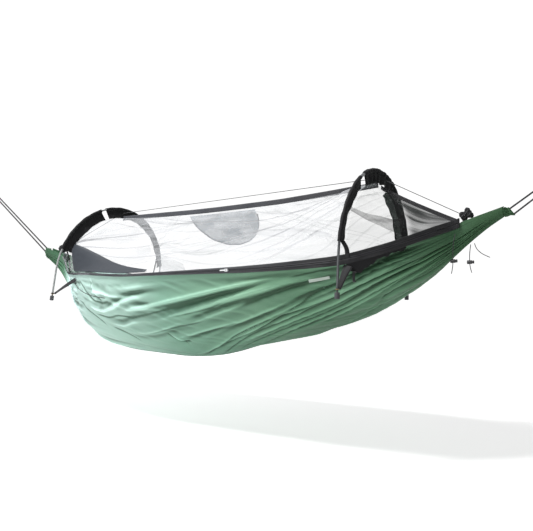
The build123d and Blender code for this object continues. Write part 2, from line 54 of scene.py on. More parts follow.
# Millimetres in the working frame, whose origin is midway between the gathers.
# ROW_ORIGIN is the head hanging point there, which is the row frame's origin.
ROW_ORIGIN = np.array([1345.0, 0.0, 95.5])
GATHER_X = 1200.0
ARCH_W, ARCH_LEG, ARCH_FOOT_Z = 333.0, 138.0, -278.0
SLEEVE_R, FIN_W = 7.0, 38.0
EYELET_H = 30.0
NET_INSET, NET_LIFT = 4.0, 5.0
TAPE_V, ZIP_HALF_GAP = 3.4, 1.4
ZIP_FOOT_X, ZIP_END_X = -1000.0, 1060.0
RIDGE_TAPE_H = 22.0
STRAIGHT_X0, STRAIGHT_X1 = -200.0, 350.0
TAPE_NARROW, TAPE_WIDE = 3.5, 15.0
TAPE_GROWS = (-160.0, 740.0)
STRAP_TOPS = {"head": (775.0, 23.0, 15.0), "foot": (-575.0, 26.0, 9.0)}
BODY = "hammock"
ARCHES = {"head": (751.0, 2.7), "foot": (-696.0, 11.3)}
KEEL = [
    (-1200, -40), (-1110, -98), (-1000, -205), (-880, -325), (-760, -412), (-600, -486), (-400, -520),
    (-150, -533), (40, -520), (250, -467), (700, -347), (850, -268), (1000, -175), (1110, -110), (1200, -34),
]
RIM = [
    (-1200, 24, 22), (-1060, 30, -22), (-980, 62, -52), (-865, 130, -98), (-740, 215, -138),
    (-640, 272, -154), (-480, 318, -162), (-200, 333, -177), (350, 333, -173), (600, 326, -165),
    (740, 308, -155), (865, 240, -120), (980, 110, -62), (1060, 30, -23), (1200, 24, 22),
]
RIDGE = [(-610, 137), (-480, 135), (0, 126), (290, 127), (520, 135), (760, 147)]


# ---- shared shapes ----
def row(points):
    """Working-frame millimetres to row-frame metres."""
    return (np.asarray(points, float) - ROW_ORIGIN) / 1000.0


def through(points):
    """A smooth curve without overshoot through (x, value, ...) points."""
    xs = [p[0] for p in points]
    values = list(zip(*points))[1:]

    def slopes(v):
        h = [b - a for a, b in zip(xs, xs[1:])]
        d = [(v[i + 1] - v[i]) / h[i] for i in range(len(h))]
        inner = [
            0.0 if d[i - 1] * d[i] <= 0 else
            3 * (h[i - 1] + h[i]) / ((2 * h[i] + h[i - 1]) / d[i - 1] + (h[i] + 2 * h[i - 1]) / d[i])
            for i in range(1, len(h))
        ]
        return [d[0]] + inner + [d[-1]]

    m = [slopes(v) for v in values]

    def at(x):
        i = min(max(bisect_right(xs, x) - 1, 0), len(xs) - 2)
        h = xs[i + 1] - xs[i]
        s = (x - xs[i]) / h
        return [
            (1 + 2 * s) * (1 - s) ** 2 * v[i] + s * (1 - s) ** 2 * h * k[i]
            + s * s * (3 - 2 * s) * v[i + 1] + s * s * (s - 1) * h * k[i + 1]
            for v, k in zip(values, m)
        ]

    return at


keel_curve, rim_curve, ridge_curve = through(KEEL), through(RIM), through(RIDGE)


def rim(x):
    """Half width and height of the bed's edge; the stretch that the zip sliders run on is straight."""
    if STRAIGHT_X0 <= x <= STRAIGHT_X1:
        (y0, z0), (y1, z1) = rim_curve(STRAIGHT_X0), rim_curve(STRAIGHT_X1)
        s = (x - STRAIGHT_X0) / (STRAIGHT_X1 - STRAIGHT_X0)
        return y0 + s * (y1 - y0), z0 + s * (z1 - z0)
    return rim_curve(x)


def belly(x):
    """Lowest line of the cloth: the bed's keel, drawn up where the cloth is rolled into the head gather."""
    drawn_up, first, reach = 0.45, 940, 230
    z = rim(x)[1]
    return z - (z - keel_curve(x)[0]) * (1 - drawn_up * float(smooth((x - first) / reach)))


def smooth(v):
    v = np.clip(v, 0.0, 1.0)
    return v * v * (3 - 2 * v)


def in_plane(x, lean, y, h):
    """A point of a leaning upright plane: x at its foot, then across and up along the plane."""
    return (x + h * math.sin(lean), y, ARCH_FOOT_Z + h * math.cos(lean))


def rim_height(x, lean):
    """Half width of the rim, and how far up a leaning plane it is met."""
    h = 120.0
    for _ in range(5):
        y, z = rim(x + h * math.sin(lean))
        h = (z - ARCH_FOOT_Z) / math.cos(lean)
    return y, h


def value_noise(u, v, seed):
    """Smooth noise from -1 to 1 over arrays u, v, one cell per unit."""
    rng = np.random.default_rng(seed)
    table = rng.uniform(-1, 1, (64, 64))
    iu, iv = np.floor(u).astype(int), np.floor(v).astype(int)
    fu, fv = smooth(u - iu), smooth(v - iv)
    a, b = table[iu % 64, iv % 64], table[(iu + 1) % 64, iv % 64]
    c, d = table[iu % 64, (iv + 1) % 64], table[(iu + 1) % 64, (iv + 1) % 64]
    return (a * (1 - fu) + b * fu) * (1 - fv) + (c * (1 - fu) + d * fu) * fv


# ---- camera, floor, light ----
CAMERA_AT = (0.158, -1.896, -0.3865)
CAMERA_YAW, CAMERA_PITCH = -0.577, 0.069
CAMERA_LENS = 36.725
FLOOR_X, FLOOR_Z = -float(ROW_ORIGIN[0]) / 1000.0, -0.9055
WHITE = (1, 1, 1, 1)


def make_camera():
    camera = bpy.data.objects.new("camera", bpy.data.cameras.new("camera"))
    camera.data.sensor_width = 36.0
    camera.data.lens = CAMERA_LENS
    camera.location = CAMERA_AT
    aim = Vector((
        math.sin(CAMERA_YAW) * math.cos(CAMERA_PITCH),
        math.cos(CAMERA_YAW) * math.cos(CAMERA_PITCH),
        math.sin(CAMERA_PITCH),
    ))
    camera.rotation_mode = "QUATERNION"
    camera.rotation_quaternion = aim.to_track_quat("-Z", "Y")
    bpy.context.scene.collection.objects.link(camera)
    bpy.context.scene.camera = camera


def area_light(name, at, target, size, power):
    light = bpy.data.lights.new(name, "AREA")
    light.shape = "DISK"
    light.size = size
    light.energy = power
    lamp = bpy.data.objects.new(name, light)
    lamp.location = at
    lamp.rotation_mode = "QUATERNION"
    lamp.rotation_quaternion = (Vector(target) - Vector(at)).to_track_quat("-Z", "Y")
    bpy.context.scene.collection.objects.link(lamp)


def set_range(node, from_min, from_max, to_min, to_max):
    names = ("From Min", "From Max", "To Min", "To Max")
    for name, value in zip(names, (from_min, from_max, to_min, to_max)):
        node.inputs[name].default_value = value


def make_studio():
    scene = bpy.context.scene
    scene.view_settings.view_transform = "Standard"
    world = bpy.data.worlds.new("studio")
    scene.world = world
    world.use_nodes = True
    nodes, links = world.node_tree.nodes, world.node_tree.links
    nodes.clear()
    seen, fill = nodes.new("ShaderNodeBackground"), nodes.new("ShaderNodeBackground")
    for background, strength in ((seen, 1.05), (fill, 0.26)):
        background.inputs["Color"].default_value = WHITE
        background.inputs["Strength"].default_value = strength
    path = nodes.new("ShaderNodeLightPath")
    mix = nodes.new("ShaderNodeMixShader")
    out = nodes.new("ShaderNodeOutputWorld")
    links.new(path.outputs["Is Camera Ray"], mix.inputs[0])
    links.new(fill.outputs[0], mix.inputs[1])
    links.new(seen.outputs[0], mix.inputs[2])
    links.new(mix.outputs[0], out.inputs["Surface"])

    half = 80.0
    mesh = bpy.data.meshes.new("floor")
    corners = [(FLOOR_X + a * half, b * half, FLOOR_Z) for a, b in ((-1, -1), (1, -1), (1, 1), (-1, 1))]
    mesh.from_pydata(corners, [], [(0, 1, 2, 3)])
    floor = bpy.data.objects.new("floor", mesh)
    scene.collection.objects.link(floor)
    m = bpy.data.materials.new("studio_floor")
    m.use_nodes = True
    shader = m.node_tree.nodes["Principled BSDF"]
    shader.inputs["Base Color"].default_value = (0.9, 0.9, 0.9, 1)
    shader.inputs["Roughness"].default_value = 0.9
    shader.inputs["Specular IOR Level"].default_value = 0.1
    shader.inputs["Emission Color"].default_value = WHITE
    # it glows for the camera only, and more so far off, so that no horizon shows
    floor_nodes, floor_links = m.node_tree.nodes, m.node_tree.links
    where = floor_nodes.new("ShaderNodeTexCoord")
    distance = floor_nodes.new("ShaderNodeVectorMath")
    distance.operation = "DISTANCE"
    distance.inputs[1].default_value = (FLOOR_X, 0, FLOOR_Z)
    glow = floor_nodes.new("ShaderNodeMapRange")
    set_range(glow, 1.2, 6.0, 0.52, 0.80)
    ray = floor_nodes.new("ShaderNodeLightPath")
    seen_glow = floor_nodes.new("ShaderNodeMath")
    seen_glow.operation = "MULTIPLY"
    floor_links.new(where.outputs["Object"], distance.inputs[0])
    floor_links.new(distance.outputs["Value"], glow.inputs["Value"])
    floor_links.new(glow.outputs[0], seen_glow.inputs[0])
    floor_links.new(ray.outputs["Is Camera Ray"], seen_glow.inputs[1])
    floor_links.new(seen_glow.outputs[0], shader.inputs["Emission Strength"])
    mesh.materials.append(m)

    area_light("key", (-2.1, -1.8, 3.1), (-1.5, -0.1, -0.4), 0.8, 190)
    area_light("front", (-1.0, -3.4, 0.0), (-1.4, 0, -0.4), 1.6, 26)
    area_light("back", (-3.4, 1.8, 1.0), (-1.9, 0.1, -0.2), 1.6, 30)


# ---- materials ----
class Shader:
    """A Principled material with a few short ways to wire its nodes."""

    def __init__(self, name, roughness=0.7, metallic=0.0, sheen=0.0, specular=0.5, coat=0.0):
        self.material = bpy.data.materials.new(name)
        self.material.use_nodes = True
        self.tree = self.material.node_tree
        self.bsdf = self.tree.nodes["Principled BSDF"]
        self.bsdf.inputs["Roughness"].default_value = roughness
        self.bsdf.inputs["Metallic"].default_value = metallic
        self.bsdf.inputs["Sheen Weight"].default_value = sheen
        self.bsdf.inputs["Sheen Roughness"].default_value = 0.45
        self.bsdf.inputs["Specular IOR Level"].default_value = specular
        self.bsdf.inputs["Coat Weight"].default_value = coat
        self.heights = []

    def node(self, kind, **settings):
        made = self.tree.nodes.new("ShaderNode" + kind)
        for key, value in settings.items():
            setattr(made, key, value)
        return made

    def link(self, a, b):
        self.tree.links.new(a, b)

    def coordinates(self, which, scale=(1, 1, 1), angle=0.0):
        source = self.node("TexCoord")
        mapping = self.node("Mapping")
        mapping.inputs["Scale"].default_value = scale
        mapping.inputs["Rotation"].default_value = (0, 0, angle)
        self.link(source.outputs[which], mapping.inputs["Vector"])
        return mapping.outputs["Vector"]

    def noise(self, where, scale, detail=4.0, roughness=0.55):
        made = self.node("TexNoise")
        made.inputs["Scale"].default_value = scale
        made.inputs["Detail"].default_value = detail
        made.inputs["Roughness"].default_value = roughness
        self.link(where, made.inputs["Vector"])
        return made.outputs["Fac"]

    def bands(self, where, pitch, direction):
        """Parallel threads of that pitch, 0 between them and 1 on top."""
        made = self.node("TexWave", bands_direction=direction)
        made.inputs["Scale"].default_value = 0.314 / pitch
        made.inputs["Distortion"].default_value = 0.0
        self.link(where, made.inputs["Vector"])
        return made.outputs["Fac"]

    def math(self, operation, a, b):
        made = self.node("Math", operation=operation)
        for socket, value in zip(made.inputs, (a, b)):
            if isinstance(value, (int, float)):
                socket.default_value = value
            else:
                self.link(value, socket)
        return made.outputs[0]

    def weave(self, where, pitch):
        """Threads both ways."""
        return self.math("MULTIPLY", self.bands(where, pitch, "X"), self.bands(where, pitch, "Y"))

    def remap(self, value, to_min, to_max, from_min=0.0, from_max=1.0):
        made = self.node("MapRange")
        set_range(made, from_min, from_max, to_min, to_max)
        self.link(value, made.inputs["Value"])
        return made.outputs[0]

    def axis(self, vector, name):
        made = self.node("SeparateXYZ")
        self.link(vector, made.inputs[0])
        return made.outputs[name]

    def attribute(self, name):
        return self.node("Attribute", attribute_name=name).outputs["Fac"]

    def gloss(self, value, low, high):
        self.link(self.remap(value, low, high), self.bsdf.inputs["Roughness"])

    def tint(self, amount, tone, factor):
        """The tone times a colour factor, by that amount."""
        return self.mix(amount, tone, self.mix(1.0, tone, factor, "MULTIPLY"))

    def ramp(self, value, stops):
        made = self.node("ValToRGB")
        elements = made.color_ramp.elements
        while len(elements) < len(stops):
            elements.new(0.5)
        for element, (at, colour) in zip(elements, stops):
            element.position = at
            element.color = (*colour, 1) if len(colour) == 3 else colour
        self.link(value, made.inputs["Fac"])
        return made.outputs["Color"]

    def mix(self, amount, a, b, blend="MIX"):
        made = self.node("Mix", data_type="RGBA", blend_type=blend)
        for socket, value in ((made.inputs[0], amount), (made.inputs[6], a), (made.inputs[7], b)):
            if isinstance(value, (int, float)):
                socket.default_value = value
            elif isinstance(value, tuple):
                socket.default_value = (*value, 1)
            else:
                self.link(value, socket)
        return made.outputs[2]

    def colour(self, value):
        if isinstance(value, tuple):
            self.bsdf.inputs["Base Color"].default_value = (*value, 1)
        else:
            self.link(value, self.bsdf.inputs["Base Color"])

    def bump(self, height, depth, strength=1.0):
        made = self.node("Bump")
        made.inputs["Strength"].default_value = strength
        made.inputs["Distance"].default_value = depth
        self.link(height, made.inputs["Height"])
        if self.heights:
            self.link(self.heights[-1], made.inputs["Normal"])
        self.heights.append(made.outputs["Normal"])
        self.link(made.outputs["Normal"], self.bsdf.inputs["Normal"])


def spread(value, amount):
    """A colour made darker or lighter."""
    return tuple(min(1.0, c * amount) for c in value)


def plain_weave(shader, colour, pitch, depth=0.0001, variation=0.12, crumple=0.0006):
    """Threads both ways, slow colour drift, fine crumple and uneven gloss."""
    where = shader.coordinates("UV")
    weave = shader.weave(where, pitch)
    solid = shader.coordinates("Object")
    drift = shader.noise(solid, 9.0)
    tone = shader.mix(drift, spread(colour, 1 - variation), spread(colour, 1 + variation))
    tone = shader.mix(shader.math("MULTIPLY", weave, 0.35), tone, spread(colour, 1.35))
    shader.colour(tone)
    roughness = shader.bsdf.inputs["Roughness"].default_value
    shader.gloss(shader.noise(solid, 40.0), roughness - 0.08, roughness + 0.1)
    shader.bump(weave, depth, 0.5)
    if crumple:
        shader.bump(shader.noise(solid, 60.0, 5.0), crumple, 0.6)
    return shader.material


# painted light: one green cloth, drawn pale mint near the foot end, where light falls strongly on it and
# shines through, and deep green towards the less lit head end, by share of the bed's length
GREENS_PAINTED_LIGHT = [
    (0.0, (0.040, 0.110, 0.055)), (0.05, (0.07, 0.18, 0.10)), (0.13, (0.60, 0.82, 0.78)),
    (0.32, (0.45, 0.64, 0.57)), (0.48, (0.21, 0.38, 0.29)),
    (0.66, (0.145, 0.285, 0.185)), (0.74, (0.098, 0.215, 0.128)), (0.82, (0.108, 0.232, 0.138)),
    (0.90, (0.060, 0.150, 0.075)), (0.97, (0.030, 0.090, 0.035)),
]


def green_fabric(name):
    """Ripstop nylon, with painted shade in the valleys and creases and painted highlight on the crests."""
    s = Shader(name, roughness=0.5, sheen=0.06, specular=0.28)
    solid = s.coordinates("Object")
    # painted light: paler where the light falls strongly, by x along the bed
    along = s.remap(s.axis(solid, "X"), 0.0, 1.0, -2.50, -0.15)
    wander = s.math("MULTIPLY", s.math("SUBTRACT", s.noise(solid, 3.0), 0.5), 0.10)
    tone = s.ramp(s.math("ADD", along, wander), GREENS_PAINTED_LIGHT)
    # painted shade: the lower part of the bed drawn darker
    low = s.remap(s.axis(solid, "Z"), 0.0, 0.45, -0.36, -0.56)
    tone = s.tint(low, tone, (0.42, 0.56, 0.46))
    # painted shade in the valleys and painted highlight on the crests, read from the fold attribute
    fold = s.attribute("fold")
    valley = s.math("MULTIPLY", s.math("MAXIMUM", s.math("MULTIPLY", fold, -1.0), 0.0), 0.85)
    raised = s.math("MAXIMUM", fold, 0.0)
    crest = s.math("MULTIPLY", s.math("MULTIPLY", raised, raised), 0.95)
    tone = s.tint(s.math("MINIMUM", valley, 0.85), tone, (0.13, 0.19, 0.14))
    tone = s.tint(crest, tone, (1.9, 1.75, 1.85))
    where = s.coordinates("UV")
    pitch, ripstop_pitch, line_level = 0.0009, 0.0065, 0.965
    lines = [s.math("GREATER_THAN", s.bands(where, ripstop_pitch, axis), line_level) for axis in "XY"]
    ripstop = s.math("MAXIMUM", *lines)
    tone = s.mix(s.math("MULTIPLY", ripstop, 0.05), tone, s.mix(0.5, tone, (0.5, 0.62, 0.55)))
    tone = s.tint(s.math("MULTIPLY", s.noise(solid, 14.0, 5.0), 0.3), tone, (0.72, 0.78, 0.74))
    s.colour(tone)
    s.gloss(s.noise(solid, 30.0), 0.42, 0.62)
    s.bump(s.weave(where, pitch), 0.00006, 0.5)
    s.bump(ripstop, 0.00008, 0.3)
    s.bump(s.noise(s.coordinates("Object", (1, 1.6, 1.6)), 26.0, 6.0, 0.6), 0.003, 0.5)
    return s.material


def net_fabric(name, colour, low, high, streak, angle=0.0, gathered=False):
    """Fine netting: see-through, denser in streaks where it bunches and where it is gathered."""
    s = Shader(name, roughness=0.75, sheen=0.15, specular=0.25)
    where = s.coordinates("UV", streak, angle)
    bunch = s.noise(where, 1.0, 3.0, 0.45)
    cover = s.remap(bunch, low, high, 0.42, 0.74)
    if gathered:
        share = s.attribute("gathered")
        cover = s.math("MINIMUM", s.math("MULTIPLY", cover, share), 0.97)
    s.link(cover, s.bsdf.inputs["Alpha"])
    tone = s.mix(s.noise(s.coordinates("Object"), 25.0), spread(colour, 0.85), spread(colour, 1.15))
    if gathered:
        shaded = s.math("MULTIPLY", s.math("MAXIMUM", s.math("SUBTRACT", share, 0.8), 0.0), 0.6)
        tone = s.mix(s.math("MINIMUM", shaded, 0.85), tone, spread(colour, 0.32))
    s.colour(tone)
    mesh_pitch = 0.0016
    s.bump(s.weave(s.coordinates("UV"), mesh_pitch), 0.0001, 0.4)
    return s.material


def hard(name, colour, roughness, metallic=0.0, grain=60.0, depth=0.00004, coat=0.0, variation=0.12):
    """Moulded, drawn or polished pieces with slight wear in colour and gloss."""
    s = Shader(name, roughness=roughness, metallic=metallic, coat=coat)
    solid = s.coordinates("Object")
    worn = s.noise(solid, grain, 6.0, 0.65)
    s.colour(s.mix(worn, spread(colour, 1 - variation), spread(colour, 1 + variation)))
    s.gloss(worn, max(0.05, roughness - 0.1), min(1.0, roughness + 0.15))
    s.bump(s.noise(solid, grain * 12), depth, 0.6)
    return s.material


def braided(name, colour, pitch=0.0022):
    """Cord sheath: two sets of slanting strands."""
    s = Shader(name, roughness=0.8, sheen=0.3)
    slant = 0.7
    strands = s.math("MAXIMUM", *(
        s.bands(s.coordinates("Object", angle=turn), pitch, "DIAGONAL") for turn in (slant, -slant)
    ))
    s.colour(s.mix(strands, spread(colour, 0.6), spread(colour, 1.6)))
    s.bump(strands, 0.0003, 0.8)
    return s.material


def webbing(name, colour, pale=None):
    """Ribbed tape with a diagonal twill, paler towards the foot end if a pale colour is given."""
    s = Shader(name, roughness=0.72, sheen=0.25, specular=0.35)
    where = s.coordinates("UV")
    ribs = s.bands(where, 0.0018, "X")
    twill = s.bands(where, 0.0012, "DIAGONAL")
    cloth = s.math("MULTIPLY", ribs, twill)
    drift = s.noise(s.coordinates("Object"), 18.0)
    tone = s.mix(drift, spread(colour, 0.82), spread(colour, 1.2))
    if pale:
        tone = s.mix(s.remap(s.axis(s.coordinates("Object"), "X"), 0.0, 1.0, -0.72, -1.5), tone, pale)
    s.colour(s.mix(s.math("MULTIPLY", cloth, 0.25), tone, spread(colour, 1.9)))
    s.bump(cloth, 0.0003, 0.7)
    return s.material


# ---- meshes ----
def piece_name(name):
    """A CAD node keeps its own name, so what stands for it has a longer one."""
    return f"{name}_cloth" if name in NODES else name


def finish_piece(obj, replaces=(), body=BODY):
    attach(obj, body)
    if replaces:
        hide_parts(*replaces)
    return obj


def link_mesh(name, vertices, faces, material):
    name = piece_name(name)
    mesh = bpy.data.meshes.new(name)
    mesh.from_pydata(vertices, [], faces)
    mesh.materials.append(material)
    mesh.polygons.foreach_set("use_smooth", [True] * len(mesh.polygons))
    obj = bpy.data.objects.new(name, mesh)
    bpy.context.scene.collection.objects.link(obj)
    return obj


def mark(obj, name, values):
    """Gives each vertex of a grid a number that its material reads by that name."""
    layer = obj.data.attributes.new(name, "FLOAT", "POINT")
    layer.data.foreach_set("value", values.astype(np.float32).ravel())


def grid(name, points, material, thick=0.0, closed=False, caps=False, even=False):
    """A quad surface through rows of points in row-frame metres, with UVs in metres, or even across."""
    m, n, _ = points.shape
    index = np.arange(m * n).reshape(m, n)
    following = np.roll(index, -1, axis=1)
    last = n if closed else n - 1
    quads = np.stack(
        [index[:-1, :last], following[:-1, :last], following[1:, :last], index[1:, :last]], -1
    ).reshape(-1, 4)
    faces = quads.tolist()
    if caps:
        faces += [index[0, ::-1].tolist(), index[-1].tolist()]
    obj = link_mesh(name, points.reshape(-1, 3).tolist(), faces, material)
    across = np.zeros((m, n))
    across[:, 1:] = np.cumsum(np.linalg.norm(np.diff(points, axis=1), axis=2), axis=1)
    if even:
        across = np.broadcast_to(across.mean(axis=0), (m, n))
    along = np.zeros((m, n))
    along[1:] = np.cumsum(np.linalg.norm(np.diff(points, axis=0), axis=2), axis=0)
    along = np.repeat(along.mean(axis=1, keepdims=True), n, axis=1)
    uv = np.stack([along, across], -1).reshape(-1, 2)
    mesh = obj.data
    corner = np.zeros(len(mesh.loops), int)
    mesh.loops.foreach_get("vertex_index", corner)
    mesh.uv_layers.new(name="cloth").data.foreach_set("uv", uv[corner].ravel())
    if thick:
        solid = obj.modifiers.new("thickness", "SOLIDIFY")
        solid.thickness = thick / 1000.0
        solid.offset = 0.0
    return obj


def ribbon(name, middle, sideways, half, material, thick=1.2, across=6, bulge=0.0):
    """A strap along a line of points (mm), its half width along one sideways vector or one for each point."""
    middle = np.asarray(middle, float)
    sideways = np.broadcast_to(np.asarray(sideways, float), middle.shape)
    half = np.broadcast_to(half, len(middle))
    forward = np.gradient(middle, axis=0)
    normal = np.cross(forward, sideways)
    normal /= np.linalg.norm(normal, axis=1, keepdims=True)
    w = np.linspace(-1, 1, across + 1)
    points = (
        middle[:, None] + sideways[:, None] * (half[:, None] * w)[..., None]
        + normal[:, None] * (bulge * (1 - w * w))[None, :, None]
    )
    return grid(name, row(points), material, thick)


def dense(points, step):
    """A smooth line through a few points (mm), by Catmull-Rom, with a point about every step."""
    p = np.asarray(points, float)
    ends = np.vstack([2 * p[0] - p[1], p, 2 * p[-1] - p[-2]])
    out = []
    for a, b, c, d in zip(ends, ends[1:], ends[2:], ends[3:]):
        count = max(2, int(np.linalg.norm(c - b) / step))
        for t in np.linspace(0, 1, count, endpoint=False):
            out.append(0.5 * (
                2 * b + (c - a) * t + (2 * a - 5 * b + 4 * c - d) * t * t
                + (3 * b - a - 3 * c + d) * t ** 3
            ))
    out.append(p[-1])
    return np.array(out)


# ---- cords ----
def free_cord(name, route, diameter, material):
    """A cord along its route points (mm), which are the control points of one spline."""
    curve = bpy.data.curves.new(name, "CURVE")
    curve.dimensions = "3D"
    spline = curve.splines.new("NURBS")
    spline.points.add(len(route) - 1)
    for point, at in zip(spline.points, row(route)):
        point.co = (*at, 1)
    spline.order_u = 3
    spline.use_endpoint_u = True
    spline.resolution_u = 16
    curve.bevel_depth = diameter / 2000.0
    curve.bevel_resolution = 4
    curve.use_fill_caps = True
    curve.materials.append(material)
    cord = bpy.data.objects.new(f"{name}_line", curve)
    bpy.context.scene.collection.objects.link(cord)
    finish_piece(cord, [name])
    return cord


LOOP_D, STOW_CORD_D = 4.5, 2.6
LOOP_HALF, LOOP_TIP_HALF, HEM_REACH, HEM_FACE_Z, ROPE_RISE = 11.0, 8.0, 18.0, 6.0, 0.70
NEAR_HOOK = 6 * LOOP_D
HANG = {"head": (1, 125.0, 336.7), "foot": (-1, 530.0, 1325.2)}
STOW = {
    "a": (135.5, [
        (1047, -43, -60), (1043, -48, -88), (1040, -50, -120), (1040, -50, -170), (1034, -50, -194),
    ]),
    "b": (96.0, [
        (1091, -19, -97), (1090, -25, -113), (1088, -27, -134), (1088, -27, -172), (1094, -27, -191),
    ]),
    "c": (73.3, [
        (1103, -17.5, -94), (1107, -22, -108), (1118, -25, -122), (1133, -27, -134), (1152, -28, -143),
    ]),
}
FOOT_TIE = [(-600, -180), (-578, -204), (-545, -226), (-505, -243), (-452, -258), (-400, -266), (-350, -270)]


def wall_point(x, z, off):
    """A point on the near side of the bed at that height, and that far out from it."""
    y_rim, z_rim = rim(x)
    level = (z_rim - z) / (z_rim - keel_curve(x)[0])
    return (x, -y_rim * math.sqrt(1 - level * level) - off, z)


def rope_frame(side):
    """The way the loops run, the way up across them, and the middle of the hem they leave."""
    slope = math.hypot(1, ROPE_RISE)
    along = np.array([side, 0, ROPE_RISE]) / slope
    up = np.array([-side * ROPE_RISE, 0, 1]) / slope
    return along, up, np.array([side * (GATHER_X + HEM_REACH), 0, HEM_FACE_Z])


def loop_route(side, reach, across):
    """Out along the upper strand, round the hanging point, and back along the lower one."""
    along, up, face = rope_frame(side)
    shift = np.array([0, across, 0])
    centre = face + along * 0.1 + shift
    hang = np.array([side * (GATHER_X + 20 + reach), 0, 8 + ROPE_RISE * reach])
    tip = hang + along * LOOP_TIP_HALF + shift
    start, back = centre + up * LOOP_HALF, centre - up * LOOP_HALF
    top, low = tip + up * LOOP_TIP_HALF, tip - up * LOOP_TIP_HALF

    def before(end, corner):
        return corner + (end - corner) / np.linalg.norm(end - corner) * NEAR_HOOK

    return [start, before(start, top), top, low, before(back, low), back]


def make_cords(sheath):
    for end, (side, reach, length) in HANG.items():
        for tag, across in (("a", -3.0), ("b", 3.0)):
            free_cord(f"{end}_hanging_loop_{tag}", loop_route(side, reach, across), LOOP_D,
                      sheath)
    for tag, (length, route) in STOW.items():
        free_cord(f"stow_cord_{tag}", route, STOW_CORD_D, sheath)
    tie = [wall_point(x, z, 3.5) for x, z in FOOT_TIE]
    free_cord("foot_tie_cord", tie, STOW_CORD_D, sheath)


# ---- bed fabric ----
BED_STATIONS, BED_ANGLES = 340, 300
BED_END = GATHER_X - 3
# Where the folds of the near side run, as (x, degrees down from the near rim). About half of these lines
# follow places that a scratch program worked out from the photo. The others were typed one by one.
# After each line: its height before FOLD_DEPTH, and how fast it falls off above and below, mm.
NEAR_FOLDS = [
    ([(-230, 37), (65, 27), (225, 23), (475, 16), (640, 10)], 10, 7, 26),
    ([(-60, 77), (85, 66), (335, 53), (530, 40), (850, 32), (1190, 22)], 17, 24, 6),
    ([(180, 74), (520, 52), (675, 46), (900, 37), (1025, 31), (1190, 31)], 15, 22, 5),
    ([(300, 80), (570, 60), (675, 56), (885, 50), (1050, 44), (1190, 41)], 13, 20, 6),
    ([(700, 84), (890, 64), (1020, 55), (1120, 50), (1190, 50)], 10, 16, 6),
    ([(-80, 50), (115, 44), (265, 42), (420, 37)], 10, 20, 6),
    ([(-40, 49), (-5, 54), (20, 57)], -9, 8, 12),
    ([(-420, 29), (-315, 22), (-195, 16), (-60, 13)], 9, 6, 20),
    ([(-330, 27), (-226, 24), (-87, 20.7), (81, 17), (230, 14.5), (370, 11.5), (520, 8)], 9, 24, 9),
    ([(-400, 10), (-245, 9), (-60, 7), (85, 6)], 5, 9, 7),
    ([(-350, 44), (-150, 42), (60, 34), (200, 31)], 6, 16, 12),
    ([(720, 24), (835, 22), (910, 16), (1000, 12)], -24, 16, 20),
    ([(230, 30), (460, 25), (630, 21), (735, 22)], -15, 22, 26),
    ([(400, 37), (570, 31), (735, 27), (860, 25)], -15, 18, 16),
    ([(-1190, 16), (-1000, 16), (-820, 14), (-640, 10), (-480, 5)], 9, 8, 20),
    ([(-1190, 30), (-1000, 26), (-800, 24), (-625, 14), (-560, 8)], 10, 10, 14),
    ([(-1190, 44), (-1000, 40), (-800, 36), (-620, 30), (-450, 31)], 9, 8, 20),
    ([(-1190, 58), (-1000, 54), (-800, 50), (-640, 48), (-400, 50)], 10, 10, 22),
    ([(-1190, 72), (-950, 70), (-700, 68), (-420, 66), (-200, 70)], 8, 12, 24),
    ([(-460, 3), (-440, 9), (-430, 16), (-380, 20)], -14, 12, 18),
    ([(-20, 40), (180, 33), (380, 27), (560, 20)], 9, 4, 12),
    ([(60, 52), (260, 45), (470, 35), (650, 28), (800, 26)], 10, 13, 4),
    ([(250, 61), (450, 50), (640, 41), (850, 34), (1190, 27)], 10, 12, 4),
    ([(420, 62), (620, 52), (820, 44), (1000, 38), (1190, 35)], 9, 12, 4),
    ([(500, 72), (760, 62), (960, 52), (1190, 46)], 9, 12, 4),
    ([(600, 36), (760, 31), (900, 27), (1190, 18)], 11, 14, 4),
    ([(720, 46), (900, 40), (1050, 34), (1190, 24)], 8, 9, 4),
    ([(-300, 24), (-180, 22), (-60, 24), (40, 20)], 6, 4, 9),
    ([(-420, 36), (-300, 37), (-200, 33), (-80, 32)], 6, 5, 10),
]
